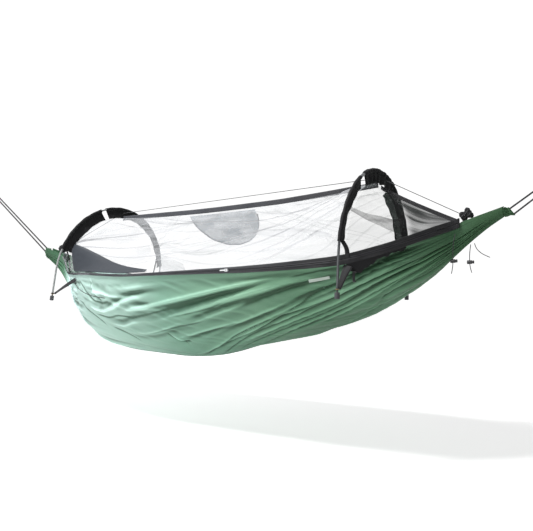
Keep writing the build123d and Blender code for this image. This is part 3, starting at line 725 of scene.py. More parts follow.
# Narrow creases, and ridges where the depth is negative: line, depth, half width, mm. About a third of
# these lines follow places that a scratch program worked out from the photo.
CREASES = [
    ([(-290, 25), (-226, 24), (-87, 20.7), (81, 17), (230, 14.5), (370, 11.5), (491, 9), (560, 8)],
     -5.0, 9.0),
    ([(-300, 32), (-180, 29), (-40, 25), (90, 21.3), (210, 18.3), (330, 15)], 2.5, 5.0),
    ([(-470, 14), (-400, 13), (-300, 15), (-200, 14)], -4.0, 7.0),
    ([(-500, 24), (-420, 27), (-330, 24), (-250, 19)], -4.0, 7.0),
    ([(-73, 84), (208, 59), (414, 46), (585, 36), (731, 31), (906, 25), (1120, 20)], 6.0, 5.0),
    ([(300, 30), (382, 27.6), (481, 22.6), (607, 19), (760, 17)], 10.0, 15.0),
    ([(11, 87), (290, 63), (483, 51), (620, 43), (800, 36), (1120, 30)], 6.0, 5.0),
    ([(143, 82), (364, 69), (521, 60), (691, 54), (884, 46), (1028, 39), (1120, 36)], 6.0, 5.0),
    ([(240, 86), (460, 72), (640, 64), (860, 54), (1120, 46)], 5.0, 5.0),
    ([(120, 66), (330, 51), (500, 42), (660, 30), (820, 24), (1120, 14)], 5.0, 4.0),
    ([(-70, 43), (-53, 46), (-30, 50), (-9, 53), (41, 53)], 7.0, 7.0),
    ([(-20, 30), (90, 28), (190, 27), (290, 23)], 3.0, 4.0),
    ([(-180, 44), (-60, 40), (60, 37), (180, 35)], 3.0, 4.0),
    ([(-560, 3), (-500, 12), (-455, 19), (-400, 21), (-330, 18)], 6.0, 6.0),
    ([(-600, 20), (-540, 27), (-460, 34), (-400, 42)], 4.0, 5.0),
    ([(-470, 30), (-380, 32), (-290, 29), (-200, 30)], 4.0, 4.0),
    ([(-380, 40), (-300, 45), (-230, 54)], 3.0, 4.0),
    ([(-1150, 22), (-1000, 20), (-850, 18), (-720, 10)], 6.0, 6.0),
    ([(-1150, 36), (-1000, 33), (-850, 30), (-700, 24), (-600, 22)], 6.0, 5.0),
    ([(-1150, 50), (-1000, 47), (-820, 44), (-650, 42)], 6.0, 5.0),
    ([(560, 10), (680, 8), (760, 6)], 3.0, 3.0),
    ([(930, 8), (1020, 9), (1120, 9)], 4.0, 3.0),
]
LONG_SPAN = 420.0
FOLD_DEPTH, GROOVE = 1.5, 0.7


def add_fold(height, xs, angles, mm_per_degree, line, size, above, below):
    """Adds one tension fold: a crest along the line, with its own fall-off on each side."""
    path = through(line)
    first, last = line[0][0], line[-1][0]
    reach = last - first
    for i, x in enumerate(xs):
        if not first <= x <= last:
            continue
        s = (x - first) / reach
        start = 1.0 if first < -GATHER_X + 20 else smooth(s * reach / min(LONG_SPAN, 0.5 * reach))
        end = 1.0 if last > GATHER_X - 20 else smooth((1 - s) * reach / min(LONG_SPAN, 0.5 * reach))
        e = (angles - path(x)[0]) * mm_per_degree[i]
        shrink = min(1.0, mm_per_degree[i] / 4.0)
        least = 1.6 * mm_per_degree[i]
        up, down = max(above * shrink, least), max(below * shrink, least)
        crest = np.where(e < 0, np.exp(e / up), np.exp(-e / down))
        steep = min(up, down)
        foot_of_it = -2.2 * steep if above < below else 2.2 * steep
        crest -= GROOVE * np.exp(-((e - foot_of_it) / (1.3 * steep)) ** 2)
        height[i] += FOLD_DEPTH * size * min(1.0, 0.08 + 1.1 * shrink) * start * end * crest


def add_crease(height, dark, xs, angles, mm_per_degree, line, deep, half):
    """Presses one narrow crease into the height and marks it in the tone, as painted shade, or as painted
    highlight where the depth is negative.
    """
    path = through(line)
    first, last = line[0][0], line[-1][0]
    for i, x in enumerate(xs):
        if not first <= x <= last:
            continue
        s = (x - first) / (last - first)
        fade = smooth(s / 0.2) * smooth((1 - s) / 0.2)
        size = mm_per_degree[i]
        width = max(half * min(1.0, size / 4.0), 0.75 * size)
        e = (angles - path(x)[0]) * size / width
        height[i] -= deep * min(1.0, size / 4.0) * fade * np.exp(-e * e)
        dark[i] += math.copysign(1.0, deep) * fade * np.exp(-1.6 * e * e)


def random_folds(seed, side):
    """Long folds from both gathers over the far side and the keel."""
    rng = random.Random(seed)
    folds = []
    for end in (1, -1):
        for k in range(8):
            gather = 18 + 11 * k + rng.uniform(-3, 3)
            reach = rng.uniform(500, 1150)
            drift = rng.uniform(6, 34)
            line = [
                (end * 1190, gather), (end * (1190 - 0.35 * reach), gather + 0.15 * drift),
                (end * (1190 - 0.7 * reach), gather + 0.5 * drift), (end * (1190 - reach), gather + drift),
            ]
            if end > 0:
                line = line[::-1]
            sharp, soft = rng.uniform(5, 9), rng.uniform(16, 28)
            fall = (sharp, soft) if rng.random() < 0.5 else (soft, sharp)
            folds.append((line, rng.uniform(7, 14), *fall))
    if side == "far":
        return folds
    lowered = []
    for line, size, *fall in folds[::2]:
        lowered.append(([(x, min(a + 62, 118)) for x, a in line], size * 0.8, *fall))
    return lowered


def spot(x, angle, at, size):
    """1 at a place on the bed given by x and degrees, falling to 0 away from it."""
    return np.exp(-((x - at[0]) / size[0]) ** 2) * np.exp(-((angle - at[1]) / size[1]) ** 2)


def crumple(level, u, v, seed):
    """Sharp creases in all directions, which stand up to that level and fall away on both sides."""
    return level - np.abs(value_noise(u, v, seed))


def body_relief(xs, angles):
    """How far the fabric stands out of its smooth shape, mm, and how creased it is, for x by angle."""
    height = np.zeros((len(xs), len(angles)))
    sizes = []
    for x in xs:
        y, z = rim(x)
        depth = z - belly(x)
        sizes.append(math.pi / 180 * math.sqrt((y * y + depth * depth) / 2))
    sizes = np.array(sizes)
    for fold in NEAR_FOLDS:
        add_fold(height, xs, angles, sizes, *fold)
    for fold in random_folds(5, "keel"):
        add_fold(height, xs, angles, sizes, *fold)
    for fold in random_folds(11, "far"):
        add_fold(height, xs, 180 - angles, sizes, *fold)
    x_grid, a_grid = np.meshgrid(xs, angles, indexing="ij")
    arc = a_grid * sizes[:, None]
    end = smooth((np.abs(x_grid) - 700) / 330)
    # long rounded pleats with narrow valleys, drawn together towards both ends
    phase = a_grid / 15.0 + 0.35 * value_noise(x_grid / 700 + 5, a_grid / 30, 3) + 0.3 * (x_grid > 0)
    pleat = np.sqrt(np.abs(np.sin(math.pi * phase)))
    height += end * (pleat - 0.75) * np.minimum(15.0, 3.0 * sizes[:, None] + 1.0)
    # folds keep in step with the shrinking section and never stand out of it near the ends
    limit = 20 - end * np.maximum(20 - 2.4 * sizes[:, None] - 2.0, 0)
    height = limit * np.tanh(height / limit)
    drawn_in = smooth((np.abs(x_grid) - 400) / 400)
    height -= drawn_in * (np.percentile(height, 92, axis=1)[:, None] + 0.5)
    # broad slack, then fine crumples where the cloth is loose at the foot end
    height += 4.0 * value_noise(x_grid / 260 + 7, a_grid / 26, 8) * (1 - end)
    height += 3.0 * crumple(0.5, x_grid / 230, (arc - 0.35 * x_grid) / 26, 12) * (1 - 0.9 * end)
    loose = spot(x_grid, a_grid, (-500, 14), (300, 18))
    height += 9 * loose * crumple(0.45, (x_grid + 0.7 * arc) / 80, (arc - 0.25 * x_grid) / 30, 21)
    height += 4 * loose * crumple(0.45, (x_grid - 0.4 * arc) / 38 + 3, arc / 22, 22)
    rumple = spot(x_grid, a_grid, (840, 22), (90, 9))
    height += 12 * rumple * crumple(0.4, x_grid / 28, arc / 16, 31)
    height -= 5.0 * (1 - end)
    padded = np.pad(height, ((0, 0), (1, 1)), mode="edge")
    height = (padded[:, :-2] + 2 * padded[:, 1:-1] + padded[:, 2:]) / 4
    # painted shade along the creases and painted highlight along the ridges, for the bed's colour
    dark = np.zeros_like(height)
    for crease in CREASES:
        add_crease(height, dark, xs, angles, sizes, *crease)
    height -= spot(x_grid, a_grid, (845, 15), (90, 7)) * (3 + np.maximum(height, 0))
    # held flat under the rim tapes, and no further out than the tie cord where it runs
    edge = np.minimum(a_grid, 180 - a_grid) * sizes[:, None]
    hold = smooth((edge - 16) / 26)
    height = height * hold - 1.0
    tie_x = [x for x, _ in FOOT_TIE]
    for i, x in enumerate(xs):
        if tie_x[0] - 12 <= x <= tie_x[-1] + 12:
            z_tie = np.interp(x, tie_x, [z for _, z in FOOT_TIE])
            y, z = rim(x)
            a_tie = math.degrees(math.asin(min(1.0, (z - z_tie) / (z - belly(x)))))
            near = np.exp(-(((angles - a_tie) * sizes[i]) / 16) ** 2)
            height[i] = height[i] * (1 - near) + np.minimum(height[i], 1.0) * near
    return height, dark


def fold_shading(relief):
    """Valleys below and crests above the cloth around them, from -1 to 1, which the bed's colour turns into
    painted shade and painted highlight.
    """
    def around(reach):
        total = np.zeros_like(relief)
        for steps in range(-reach, reach + 1):
            total += np.roll(relief, steps, axis=1)
        return relief - total / (2 * reach + 1)

    return np.clip((0.75 * around(4) + 0.35 * around(11)) / 4.2, -1, 1)


def bed_points(xs, angles, inward, relief):
    """Points of the bed at that distance inside the outer shape."""
    t = np.radians(angles)
    points = np.zeros((len(xs), len(angles), 3))
    for i, x in enumerate(xs):
        y, z = rim(x)
        depth = z - belly(x)
        points[i] = np.stack([np.full_like(t, x), -y * np.cos(t), z - depth * np.sin(t)], -1)
    du, dv = np.gradient(points, axis=0), np.gradient(points, axis=1)
    normal = np.cross(du, dv)
    normal /= np.linalg.norm(normal, axis=2, keepdims=True) + 1e-9
    if normal[len(xs) // 2, len(angles) // 2] @ np.array([0, 0, -1.0]) < 0:
        normal = -normal
    return points + normal * (relief - inward)[..., None]


def make_bed():
    xs = np.linspace(-BED_END, BED_END, BED_STATIONS)
    angles = np.linspace(0, 180, BED_ANGLES)
    relief, creased = body_relief(xs, angles)
    outer = bed_points(xs, angles, 0.6, relief)
    cloth = green_fabric("ripstop_green")
    body = grid("outer_fabric", row(outer), cloth, thick=0.8)
    x_grid, a_grid = np.meshgrid(xs, angles, indexing="ij")
    # painted shade where the cloth falls away under the head end of the near zip
    shade_under_zip = spot(x_grid, a_grid, (845, 13.5), (95, 5.5))
    # the fold attribute: painted shade in the valleys, creases and under the zip, painted highlight on the
    # crests
    mark(body, "fold", np.clip(fold_shading(relief) - 1.6 * shade_under_zip - 0.75 * creased, -1, 1))
    lengths = [f"outer_fabric_{part}" for part in ("foot_end", "foot_half", "head_half", "head_end")]
    finish_piece(body, lengths)

    half_length, first_angle = 716, 24
    inner_x = np.linspace(-half_length, half_length, 120)
    inner_a = np.linspace(first_angle, 180 - first_angle, 90)
    # the layer follows the relief of the fabric that it lies on
    nearest_x = [int(round((x + BED_END) / (2 * BED_END) * (BED_STATIONS - 1))) for x in inner_x]
    nearest_a = [int(round(a / 180 * (BED_ANGLES - 1))) for a in inner_a]
    inner = bed_points(inner_x, inner_a, 5.0, relief[np.ix_(nearest_x, nearest_a)])
    s = Shader("bed_nylon", roughness=0.55, sheen=0.2)
    layer = grid("bed_layer", row(inner), plain_weave(s, (0.10, 0.20, 0.135), 0.0009), thick=0.8)
    finish_piece(layer, ["bed_layer"])
    return cloth


def make_hem(end, cloth):
    """The cloth's end drawn into a pleated stem whose face looks up the loops."""
    side = 1 if end == "head" else -1
    steps, rings = 108, 14
    y, z = rim(side * BED_END)
    low = belly(side * BED_END)
    mid, half = (z + low) / 2, (z - low) / 2
    along, up, centre = rope_frame(side)
    turn = np.linspace(0, 2 * math.pi, steps, endpoint=False)
    rows = []
    for s in np.linspace(0, 1, rings):
        lobes = 1 + 0.13 * np.sin(13 * turn + 1.3 * np.sin(3 * turn)) * (1 - 0.4 * s)
        waist = 1 - 0.16 * math.exp(-((s - 0.55) / 0.2) ** 2)
        a = np.stack([np.full(steps, side * (GATHER_X - 4)), y * np.cos(turn), mid + half * np.sin(turn)], -1)
        b = centre + np.outer(np.cos(turn), (0, 12.0, 0)) + np.outer(np.sin(turn), up * 17.0)
        ring = a * (1 - s) + b * s
        core = ring.mean(axis=0)
        rows.append(core + (ring - core) * (lobes * waist * 0.93)[:, None])
    for shrink, back in ((0.8, 1.5), (0.45, 2.5), (0.1, 3.0)):
        core = rows[rings - 1].mean(axis=0)
        ring = core + (rows[rings - 1] - core) * shrink
        rows.append(ring - along * back)
    hem = grid(f"{end}_gather_hem", row(np.array(rows)), cloth, closed=True, caps=True)
    finish_piece(hem, [f"{end}_gather_hem"])


# ---- net ----
def station(u):
    """Foot and lean of the net's cross plane at that share of the way from foot arch to head arch."""
    (x0, l0), (x1, l1) = ARCHES["foot"], ARCHES["head"]
    return x0 + (x1 - x0) * u, math.radians(l0 + (l1 - l0) * u)


BOW_TOP = ARCH_LEG + ARCH_W - SLEEVE_R - FIN_W - 2
NET_SPAN = ARCHES["head"][0] - ARCHES["foot"][0]
BOW_REACH = 230.0
SIDES = {"near": -1, "far": 1}


def bowed(v, y_rim, h_rim, top):
    """The net's line along a sleeve fin's inner edge, from the top (v 0) down and in to the rim (v 1)."""
    a = math.pi / 2 * (1 - v)
    radius = ARCH_W - SLEEVE_R - FIN_W + 3
    drawn_in = float(smooth((v - 0.80) / 0.20))
    y = radius * math.cos(a) * (1 - drawn_in) + y_rim * drawn_in
    round_h = ARCH_LEG + (top - ARCH_LEG) * math.sin(a)
    return y, round_h * (1 - drawn_in) + h_rim * drawn_in


def net_point(u, v, side=-1, off=0.0):
    """Net panel from ridge (v 0) to rim (v 1), u from the foot arch to the head arch."""
    x, lean = station(u)
    y_rim, h_rim = rim_height(x, lean)
    y_rim -= NET_INSET
    h_rim += NET_LIFT
    ridge_h = (ridge_curve(x + BOW_TOP * math.sin(lean))[0] - ARCH_FOOT_Z) / math.cos(lean) - RIDGE_TAPE_H / 2
    bow = min(sum(math.exp(-(share * NET_SPAN / BOW_REACH) ** 2) for share in (u, 1 - u)), 1)
    top = bow * min(BOW_TOP, ridge_h + 8) + (1 - bow) * ridge_h
    bow_y, bow_h = bowed(v, y_rim, h_rim, top)
    y = bow * bow_y + (1 - bow) * y_rim * v
    h = bow * bow_h + (1 - bow) * (h_rim + (top - h_rim) * (1 - v))
    px, py, pz = in_plane(x, lean, y + 2.0 * (1 - v) + off * 0.6, h + off * 0.8)
    return px, side * py, pz


# long wrinkles of the net: from u, v to u, v, sag, strength
NET_LINES = [
    (0.00, 0.70, 0.34, 0.16, 0.03, 0.9), (0.00, 0.74, 0.52, 0.40, 0.02, 0.8),
    (0.01, 0.78, 0.62, 0.66, 0.02, 0.7), (0.00, 0.72, 0.22, 0.06, 0.02, 0.6),
    (0.02, 0.66, 0.30, 0.44, -0.02, 0.6), (0.05, 0.30, 0.48, 0.10, 0.03, 0.7),
    (0.10, 0.08, 0.66, 0.22, 0.04, 0.8), (0.22, 0.04, 0.80, 0.34, 0.03, 0.7),
    (1.00, 0.16, 0.52, 0.30, 0.03, 0.9), (1.00, 0.24, 0.46, 0.62, 0.02, 0.9),
    (0.99, 0.34, 0.58, 0.80, 0.02, 0.8), (0.99, 0.48, 0.66, 0.92, 0.02, 0.7),
    (0.98, 0.66, 0.74, 0.96, 0.01, 0.6), (0.98, 0.20, 0.70, 0.06, 0.02, 0.8),
    (0.86, 0.22, 0.40, 0.86, 0.02, 0.6), (0.30, 0.60, 0.66, 0.50, 0.02, 0.5),
    (0.16, 0.90, 0.50, 0.76, 0.01, 0.5), (0.60, 0.06, 0.95, 0.40, 0.02, 0.7),
]


def off_edges(v):
    """0 on the net's sewn edges and 1 a little way in from them."""
    return np.minimum(1.0, np.minimum(12 * v, 12 * (1 - v)))


def net_lines(u, v, offset):
    """Strength of the long wrinkles at each point of a net panel."""
    total = np.zeros_like(u)
    for u0, v0, u1, v1, sag, strength in NET_LINES:
        t = (u - u0) / (u1 - u0)
        line_v = v0 + (v1 - v0) * t + sag * np.sin(math.pi * t) + offset * np.sin(2.2 * math.pi * t)
        fade = smooth(t / 0.06) * smooth((1 - t) / 0.35)
        total += strength * fade * np.exp(-((v - line_v) * 470 / 4.2) ** 2)
    return total


def net_relief(u, v, seed):
    """Wrinkles fanning out from the low ends of both arches: their height, mm, and how sharp they are."""
    height, sharp = np.zeros_like(u), np.zeros_like(u)
    for end, low, weight in ((u, 0.72, 1 - u), (1 - u, 0.92, u)):
        angle = np.arctan2((low - v) * 300, end * NET_SPAN + 25)
        folds = np.abs(value_noise(angle * 15 + 3, end * 1.3 + seed, seed))
        parts = value_noise(angle * 6 + 9, end * 3.0 + seed, seed + 1)
        height += weight * 5.0 * (0.45 - folds)
        sharp += np.sqrt(weight) * np.exp(-folds / 0.07) * smooth((parts + 0.1) / 0.4)
    return off_edges(v) * height, sharp


def make_nets(nets, pocket_net, grey, pale_grey, trim):
    us, vs = np.linspace(0.004, 0.996, 200), np.linspace(0.0, 1.0, 130)
    u_grid, v_grid = np.meshgrid(us, vs, indexing="ij")
    for name, side in SIDES.items():
        height, sharp = net_relief(u_grid, v_grid, 40 if side < 0 else 50)
        lines = net_lines(u_grid, v_grid, 0.012 if side < 0 else -0.04)
        height += 3.0 * lines * off_edges(v_grid)
        sharp = 0.6 * sharp + (1.0 if side < 0 else 0.5) * lines
        points = np.array([
            [net_point(u, v, side, float(height[i, k])) for k, v in enumerate(vs)] for i, u in enumerate(us)
        ])
        panel = grid(f"{name}_net_panel", row(points), nets[name])
        drawn = 0.85 * np.exp(-((v_grid - 0.03) / 0.05) ** 2) * np.exp(-u_grid / 0.3)
        mark(panel, "gathered", 0.75 + 1.9 * sharp + drawn)
        finish_piece(panel, [f"{name}_net_panel"])
    for name, side in SIDES.items():
        slope = np.linspace(0.006, 0.4 if side < 0 else 0.16, 40)
        points = np.array([[
            net_point(u, (0.70 + 0.26 * u / 0.4) * (1 - w) + (0.72 + 0.278 * min(1.0, u / 0.055)) * w, side,
                      5.6 + 1.6 * math.sin(9 * w + 40 * u) * w * (1 - w))
            for w in np.linspace(0, 1, 12)] for u in slope])
        piece = grid(f"{name}_foot_gusset", row(points), grey if side < 0 else pale_grey, thick=0.5)
        finish_piece(piece, ["foot_gussets"] if side < 0 else [])
    middle, reach, pocket_top = 0.465, 0.132, 0.012
    rows = []
    for s in np.linspace(-0.995, 0.995, 46):
        bottom = pocket_top + 0.02 + 0.42 * math.sqrt(max(1 - s * s, 0.01))
        rows.append([
            net_point(middle + reach * s, pocket_top + (bottom - pocket_top) * w, 1,
                      -5.0 - 2.5 * math.sin(math.pi * w) + 1.2 * math.sin(17 * s + 3 * w) * w)
            for w in np.linspace(0, 1, 20)
        ])
    pocket = grid("storage_pocket", row(np.array(rows)), pocket_net)
    finish_piece(pocket, ["storage_pocket"])
    edge = [r[-1] for r in rows]
    binding = ribbon("storage_pocket_binding", edge, (0.0, 0.55, 0.83), 3.0, trim, 0.8, 2)
    finish_piece(binding)


def end_net_rows(name):
    """Lines of the tapering net from its arch to where it is tied, each from the near rim to the far one."""
    tied_x, tied_z = 1048.0, -8.0
    x_arch, lean_deg = ARCHES[name]
    side = 1 if name == "head" else -1
    rows = []
    for t in np.linspace(0.012, 1.0, 60):
        x = x_arch + (side * tied_x - x_arch) * t
        lean = math.radians(lean_deg) * (1 - t)
        y_rim, h_rim = rim_height(x, lean)
        y_rim -= NET_INSET
        h_rim += NET_LIFT
        top = BOW_TOP + (tied_z - ARCH_FOOT_Z - BOW_TOP) * t ** 0.9
        bow = (1 - t) ** 2
        line = []
        for v in np.linspace(-1, 1, 73):
            pleat = 1 + 0.06 * math.sin(19 * v + 2.0 * math.sin(5 * v)) * t * (1 - abs(v)) ** 0.4
            bow_y, bow_h = bowed(abs(v), y_rim, h_rim, top)
            y = (bow * bow_y + (1 - bow) * abs(v) * y_rim) * (1 if v > 0 else -1) * pleat
            straight = h_rim + (top - h_rim) * (1 - abs(v)) * (2 - pleat)
            line.append(in_plane(x, lean, y, bow * bow_h + (1 - bow) * straight))
        rows.append(line)
    return np.array(rows)


def make_end_nets(looks, binding):
    for name in ARCHES:
        rows = end_net_rows(name)
        piece = grid(f"{name}_end_net", row(rows), looks[name], even=True)
        m, n, _ = rows.shape
        t, v = np.meshgrid(np.linspace(0, 1, m), np.linspace(-1, 1, n), indexing="ij")
        far, near = 0.3 + 1.1 * smooth((t - 0.02) / 0.25), 0.14 + 0.9 * smooth((t - 0.66) / 0.3)
        share = near + (far - near) * smooth((v + 0.1) / 0.25)
        mark(piece, "gathered", share)
        finish_piece(piece, [f"{name}_end_net"])
        if name == "foot":
            continue
        crest = rows[::2, rows.shape[1] // 2] + (0, 0, 1.5)
        tape = ribbon(f"{name}_end_ridge_tape", crest - (0, 0, 8.0), (0.0, 0.2, 0.98), 8.0, binding, 1.0, 4)
        finish_piece(tape)


def make_net_fold(net):
    """Loose fold of the end net hanging across the head arch, narrow on the near side."""
    behind_arch, y_near, y_far = 778, -284, 190
    rows = []
    for s in np.linspace(0, 1, 40):
        y = y_near + (y_far - y_near) * s
        sag = 14 * math.sin(math.pi * s) + 3 * math.sin(9 * s)
        high, low = 22 + 22 * s, 10 - 22 * s
        rows.append([
            (behind_arch + 10 * s + 5 * math.sin(7 * w + 5 * s), y, high + (low - high) * w - sag)
            for w in np.linspace(0, 1, 10)
        ])
    finish_piece(grid("head_net_fold", row(np.array(rows)), net))


def make_net_bindings(cloth):
    """Black binding from each sleeve's lower end down the net's edge to the rim."""
    for name, first, low_x, half in (("head", 9.0, 774.0, 8.0), ("foot", 19.0, -655.0, 5.0)):
        y, z = rim(low_x)
        start = np.array(arch_point(name, math.radians(first), -SLEEVE_R - 16, 0.0))
        stop = np.array((low_x, -y - 1.5, z + 4))
        line = dense([start, start * 0.55 + stop * 0.45 + (4, 3, 0), stop], 4.0)
        for tag, side in (("near", 1), ("far", -1)):
            edge = line * (1, side, 1)
            piece = ribbon(f"{name}_net_binding_{tag}", edge, (1.0, 0.0, 0.0), half, cloth, 0.8, 4, 1.5)
            finish_piece(piece)


def make_bunch(end, cloth):
    """Net end drawn together and tied: a waist between two frills, from its axis outwards and along it."""
    side = 1 if end == "head" else -1
    profile = dense([
        (2, -18), (11, -18), (16, -10), (12, -2), (12, 3), (18, 11), (14, 19), (7, 18), (1.5, 15),
    ], 1.6)
    turn = np.linspace(0, 2 * math.pi, 96, endpoint=False)
    tied_x, tied_z = 1074, 7
    tilt = math.radians(side * 60)
    rows = []
    for r, h in profile:
        frill = 1 + 0.16 * np.sin(11 * turn + 1.7 * np.sin(2 * turn) + h / 9) * min(1.0, r / 9)
        x, y = r * frill * np.cos(turn), r * frill * np.sin(turn)
        z = h + 1.3 * np.sin(7 * turn + h)
        rows.append(np.stack([
            side * tied_x + x * math.cos(tilt) + z * math.sin(tilt),
            y,
            tied_z - x * math.sin(tilt) + z * math.cos(tilt),
        ], -1))
    finish_piece(grid(f"{end}_net_bunch", row(np.array(rows)), cloth, closed=True, caps=True),
                 [f"{end}_net_bunch"])


# ---- arches ----
def arch_point(name, a, r, x):
    """A point by its angle round the bow, its distance outwards from the pole's line, and x across."""
    foot_x, lean = ARCHES[name]
    lean = math.radians(lean)
    radius = ARCH_W + r
    y, h = -radius * math.cos(a), ARCH_LEG + radius * math.sin(a)
    return (
        foot_x + x * math.cos(lean) + h * math.sin(lean),
        y,
        ARCH_FOOT_Z - x * math.sin(lean) + h * math.cos(lean),
    )


def make_sleeve(node, name, first, last, cloth, wave, pleats=0.0, fin=FIN_W, tilt=0.0):
    """Fabric pocket round the pole with a fin of two layers towards the net."""
    steps = int((last - first) * 2.4)
    rng = random.Random(node)
    phase = [rng.uniform(0, 6.28) for _ in range(4)]
    rows = []
    for i in range(steps + 1):
        s = i / steps
        a = math.radians(first + (last - first) * s)
        round_r = SLEEVE_R + 0.5 * math.sin(40 * a + phase[0]) + 0.4 * math.sin(23 * a + phase[1])
        fold = math.sin(pleats * a + phase[2] + 1.2 * math.sin(9 * a)) if pleats else 0.0
        round_r += 2.2 * abs(fold) if pleats else 0.0
        line = []
        for layer in (1, -1):
            spread_out = np.linspace(1, 0, 9) if layer > 0 else np.linspace(0, 1, 9)
            if layer < 0:
                for turn in np.linspace(math.radians(-65), math.radians(245), 22):
                    line.append((round_r * math.cos(turn), round_r * math.sin(turn)))
            for w in spread_out:
                depth = -SLEEVE_R + 0.5 - fin * w
                sway = wave * (w ** 1.3) * (
                    math.sin(13 * a + phase[3]) + 0.6 * math.sin(31 * a + phase[1] + 2 * w)
                ) + tilt * w
                gathered = 3.4 * fold * (0.35 + 0.65 * w) if pleats else 0.0
                line.append((layer * 0.9 + sway + gathered, depth + (2.0 * fold * w if pleats else 0.0)))
        rows.append([arch_point(name, a, r, x) for x, r in line])
    obj = grid(node, row(np.array(rows)), cloth, closed=True)
    finish_piece(obj, [node])


def make_arches(cloth, strap):
    make_sleeve("head_sleeve_near", "head", 8, 57, cloth, 2.0, fin=35.0, tilt=-6)
    make_sleeve("head_sleeve_far", "head", 111.5, 172, cloth, 2.0, fin=42.0, tilt=-30)
    make_sleeve("head_gathered_cap", "head", 63, 113, cloth, 2.0, pleats=44)
    make_sleeve("foot_sleeve_near", "foot", 18, 67, cloth, 2.5, tilt=18)
    make_sleeve("foot_sleeve_far", "foot", 72, 170, cloth, 2.5, tilt=18)
    for name in ARCHES:
        make_straps(name, strap)


def make_straps(name, cloth):
    foot_x, lean_deg = ARCHES[name]
    lean = math.radians(lean_deg)
    x_top, below, wide_top = STRAP_TOPS[name]
    y_rim, z_rim = rim(x_top)
    top = np.array([x_top, -(y_rim + 1.8), z_rim - below])
    low = np.array([*in_plane(foot_x, lean, -ARCH_W + 9.5, EYELET_H)])
    run = (top - low) / np.linalg.norm(top - low)
    over = np.array([run[2], 0, -run[0]])
    level = np.array([math.cos(lean), 0, -math.sin(lean)])
    wide_low = 8.0
    for tag, side in SIDES.items():
        flip = np.array([1, -side, 1])
        ws = np.linspace(0, 1, 30)
        middle = [(top + (low - top) * w + (0, -2.0 * math.sin(math.pi * w), 0)) * flip for w in ws]
        sideways = [over + (level - over) * smooth(w * 1.15) for w in ws]
        sideways = [v / np.linalg.norm(v) for v in sideways]
        half = wide_top + (wide_low - wide_top) * ws
        strap = ribbon(f"{name}_strap_{tag}", middle, sideways, half, cloth, 1.5, 6)
        finish_piece(strap, [f"{name}_foot_straps"] if side < 0 else [])
        turn = np.linspace(0, 2 * math.pi, 48, endpoint=False)
        rows = []
        for w in np.linspace(0, 1, 5):
            line = []
            for a in turn:
                inwards = -side * math.sin(a)
                outline = 9.0 + (5.0 * smooth((inwards - 0.3) / 0.7) if inwards > 0.3 else 0.0)
                r = 4.7 + (outline - 4.7) * w
                line.append(in_plane(foot_x + r * math.cos(a), lean, side * ARCH_W + r * math.sin(a),
                                     EYELET_H + 0.75))
            rows.append(line)
        tongue = grid(f"{name}_strap_tongue_{tag}", row(np.array(rows)), cloth, 1.5, closed=True)
        finish_piece(tongue)


# ---- ridge, zips and trim ----
def make_ridge_tape(cloth):
    def fin_x(name):
        x, lean = ARCHES[name]
        return x + (ARCH_LEG + ARCH_W - SLEEVE_R - 14) * math.sin(math.radians(lean))

    xs = np.linspace(fin_x("foot") + 8, fin_x("head") - 8, 150)
    rows = []
    for x in xs:
        z = ridge_curve(x)[0]
        sway = 1.1 * math.sin(x / 37.0) + 0.8 * math.sin(x / 19.0 + 2)
        rows.append([(x, sway * (0.5 - w), z + RIDGE_TAPE_H * (0.5 - w)) for w in np.linspace(0, 1, 6)])
    tape = grid("ridge_tape", row(np.array(rows)), cloth, 1.0)
    finish_piece(tape, ["ridge_tape"])


def zip_height(x):
    """Height of each zip tape, which grows towards the head end."""
    first, last = TAPE_GROWS
    return TAPE_NARROW + (TAPE_WIDE - TAPE_NARROW) * min(max((x - first) / (last - first), 0), 1)


def make_zip_tapes(cloth, stitch):
    xs = np.linspace(ZIP_FOOT_X, ZIP_END_X, 260)
    for tag, side in SIDES.items():
        rows = []
        for x in xs:
            y, z = rim(x)
            tall = ZIP_HALF_GAP + 0.85 * zip_height(x)
            rows.append([(x, side * (y + 0.7), z + tall * w) for w in np.linspace(-1, 1, 5)])
        flap = grid(f"{tag}_zip_flap", row(np.array(rows)), cloth, 0.5)
        finish_piece(flap)
        for part, sign in (("body", -1), ("net", 1)):
            rows = []
            for x in xs:
                y, z = rim(x)
                tall = zip_height(x)
                loose = (1.2 * math.sin(x / 31.0 + sign) + 0.8 * math.sin(x / 13.0)) * tall / TAPE_WIDE
                rows.append([
                    (x, side * (y + TAPE_V + 0.6 + loose * w * w), z + sign * (ZIP_HALF_GAP + tall * w))
                    for w in np.linspace(0, 1, 7)
                ])
            tape = grid(f"{tag}_{part}_zip_tape", row(np.array(rows)), cloth, 0.9)
            finish_piece(tape, [f"{tag}_zip_tapes"] if part == "body" else [])
            make_stitches(f"{tag}_{part}_zip_stitches", side, sign, stitch)


def make_gap_shadow(cloth):
    """A black sheet as painted shadow, where the bed fabric falls away under the near zip."""
    first_x, last_x, lowest_x = 768, 925, 800
    rows = []
    for x in np.linspace(first_x, last_x, 70):
        y, z = rim(x)
        depth = z - belly(x)
        sag = 27 * math.exp(-((x - lowest_x) / 42) ** 2)
        drop = 10 + sag + 2.0 * math.sin(x / 6.0) + 1.5 * math.sin(x / 2.9)
        rows.append([
            (x, -y * math.cos(d / depth) - 1.2 - 1.0 * math.sin(w * 3 + x / 17.0) * w, z - d)
            for w in np.linspace(0, 1, 10) for d in (13 + drop * w,)
        ])
    finish_piece(grid("zip_gap_shadow", row(np.array(rows)), cloth, 0.6))


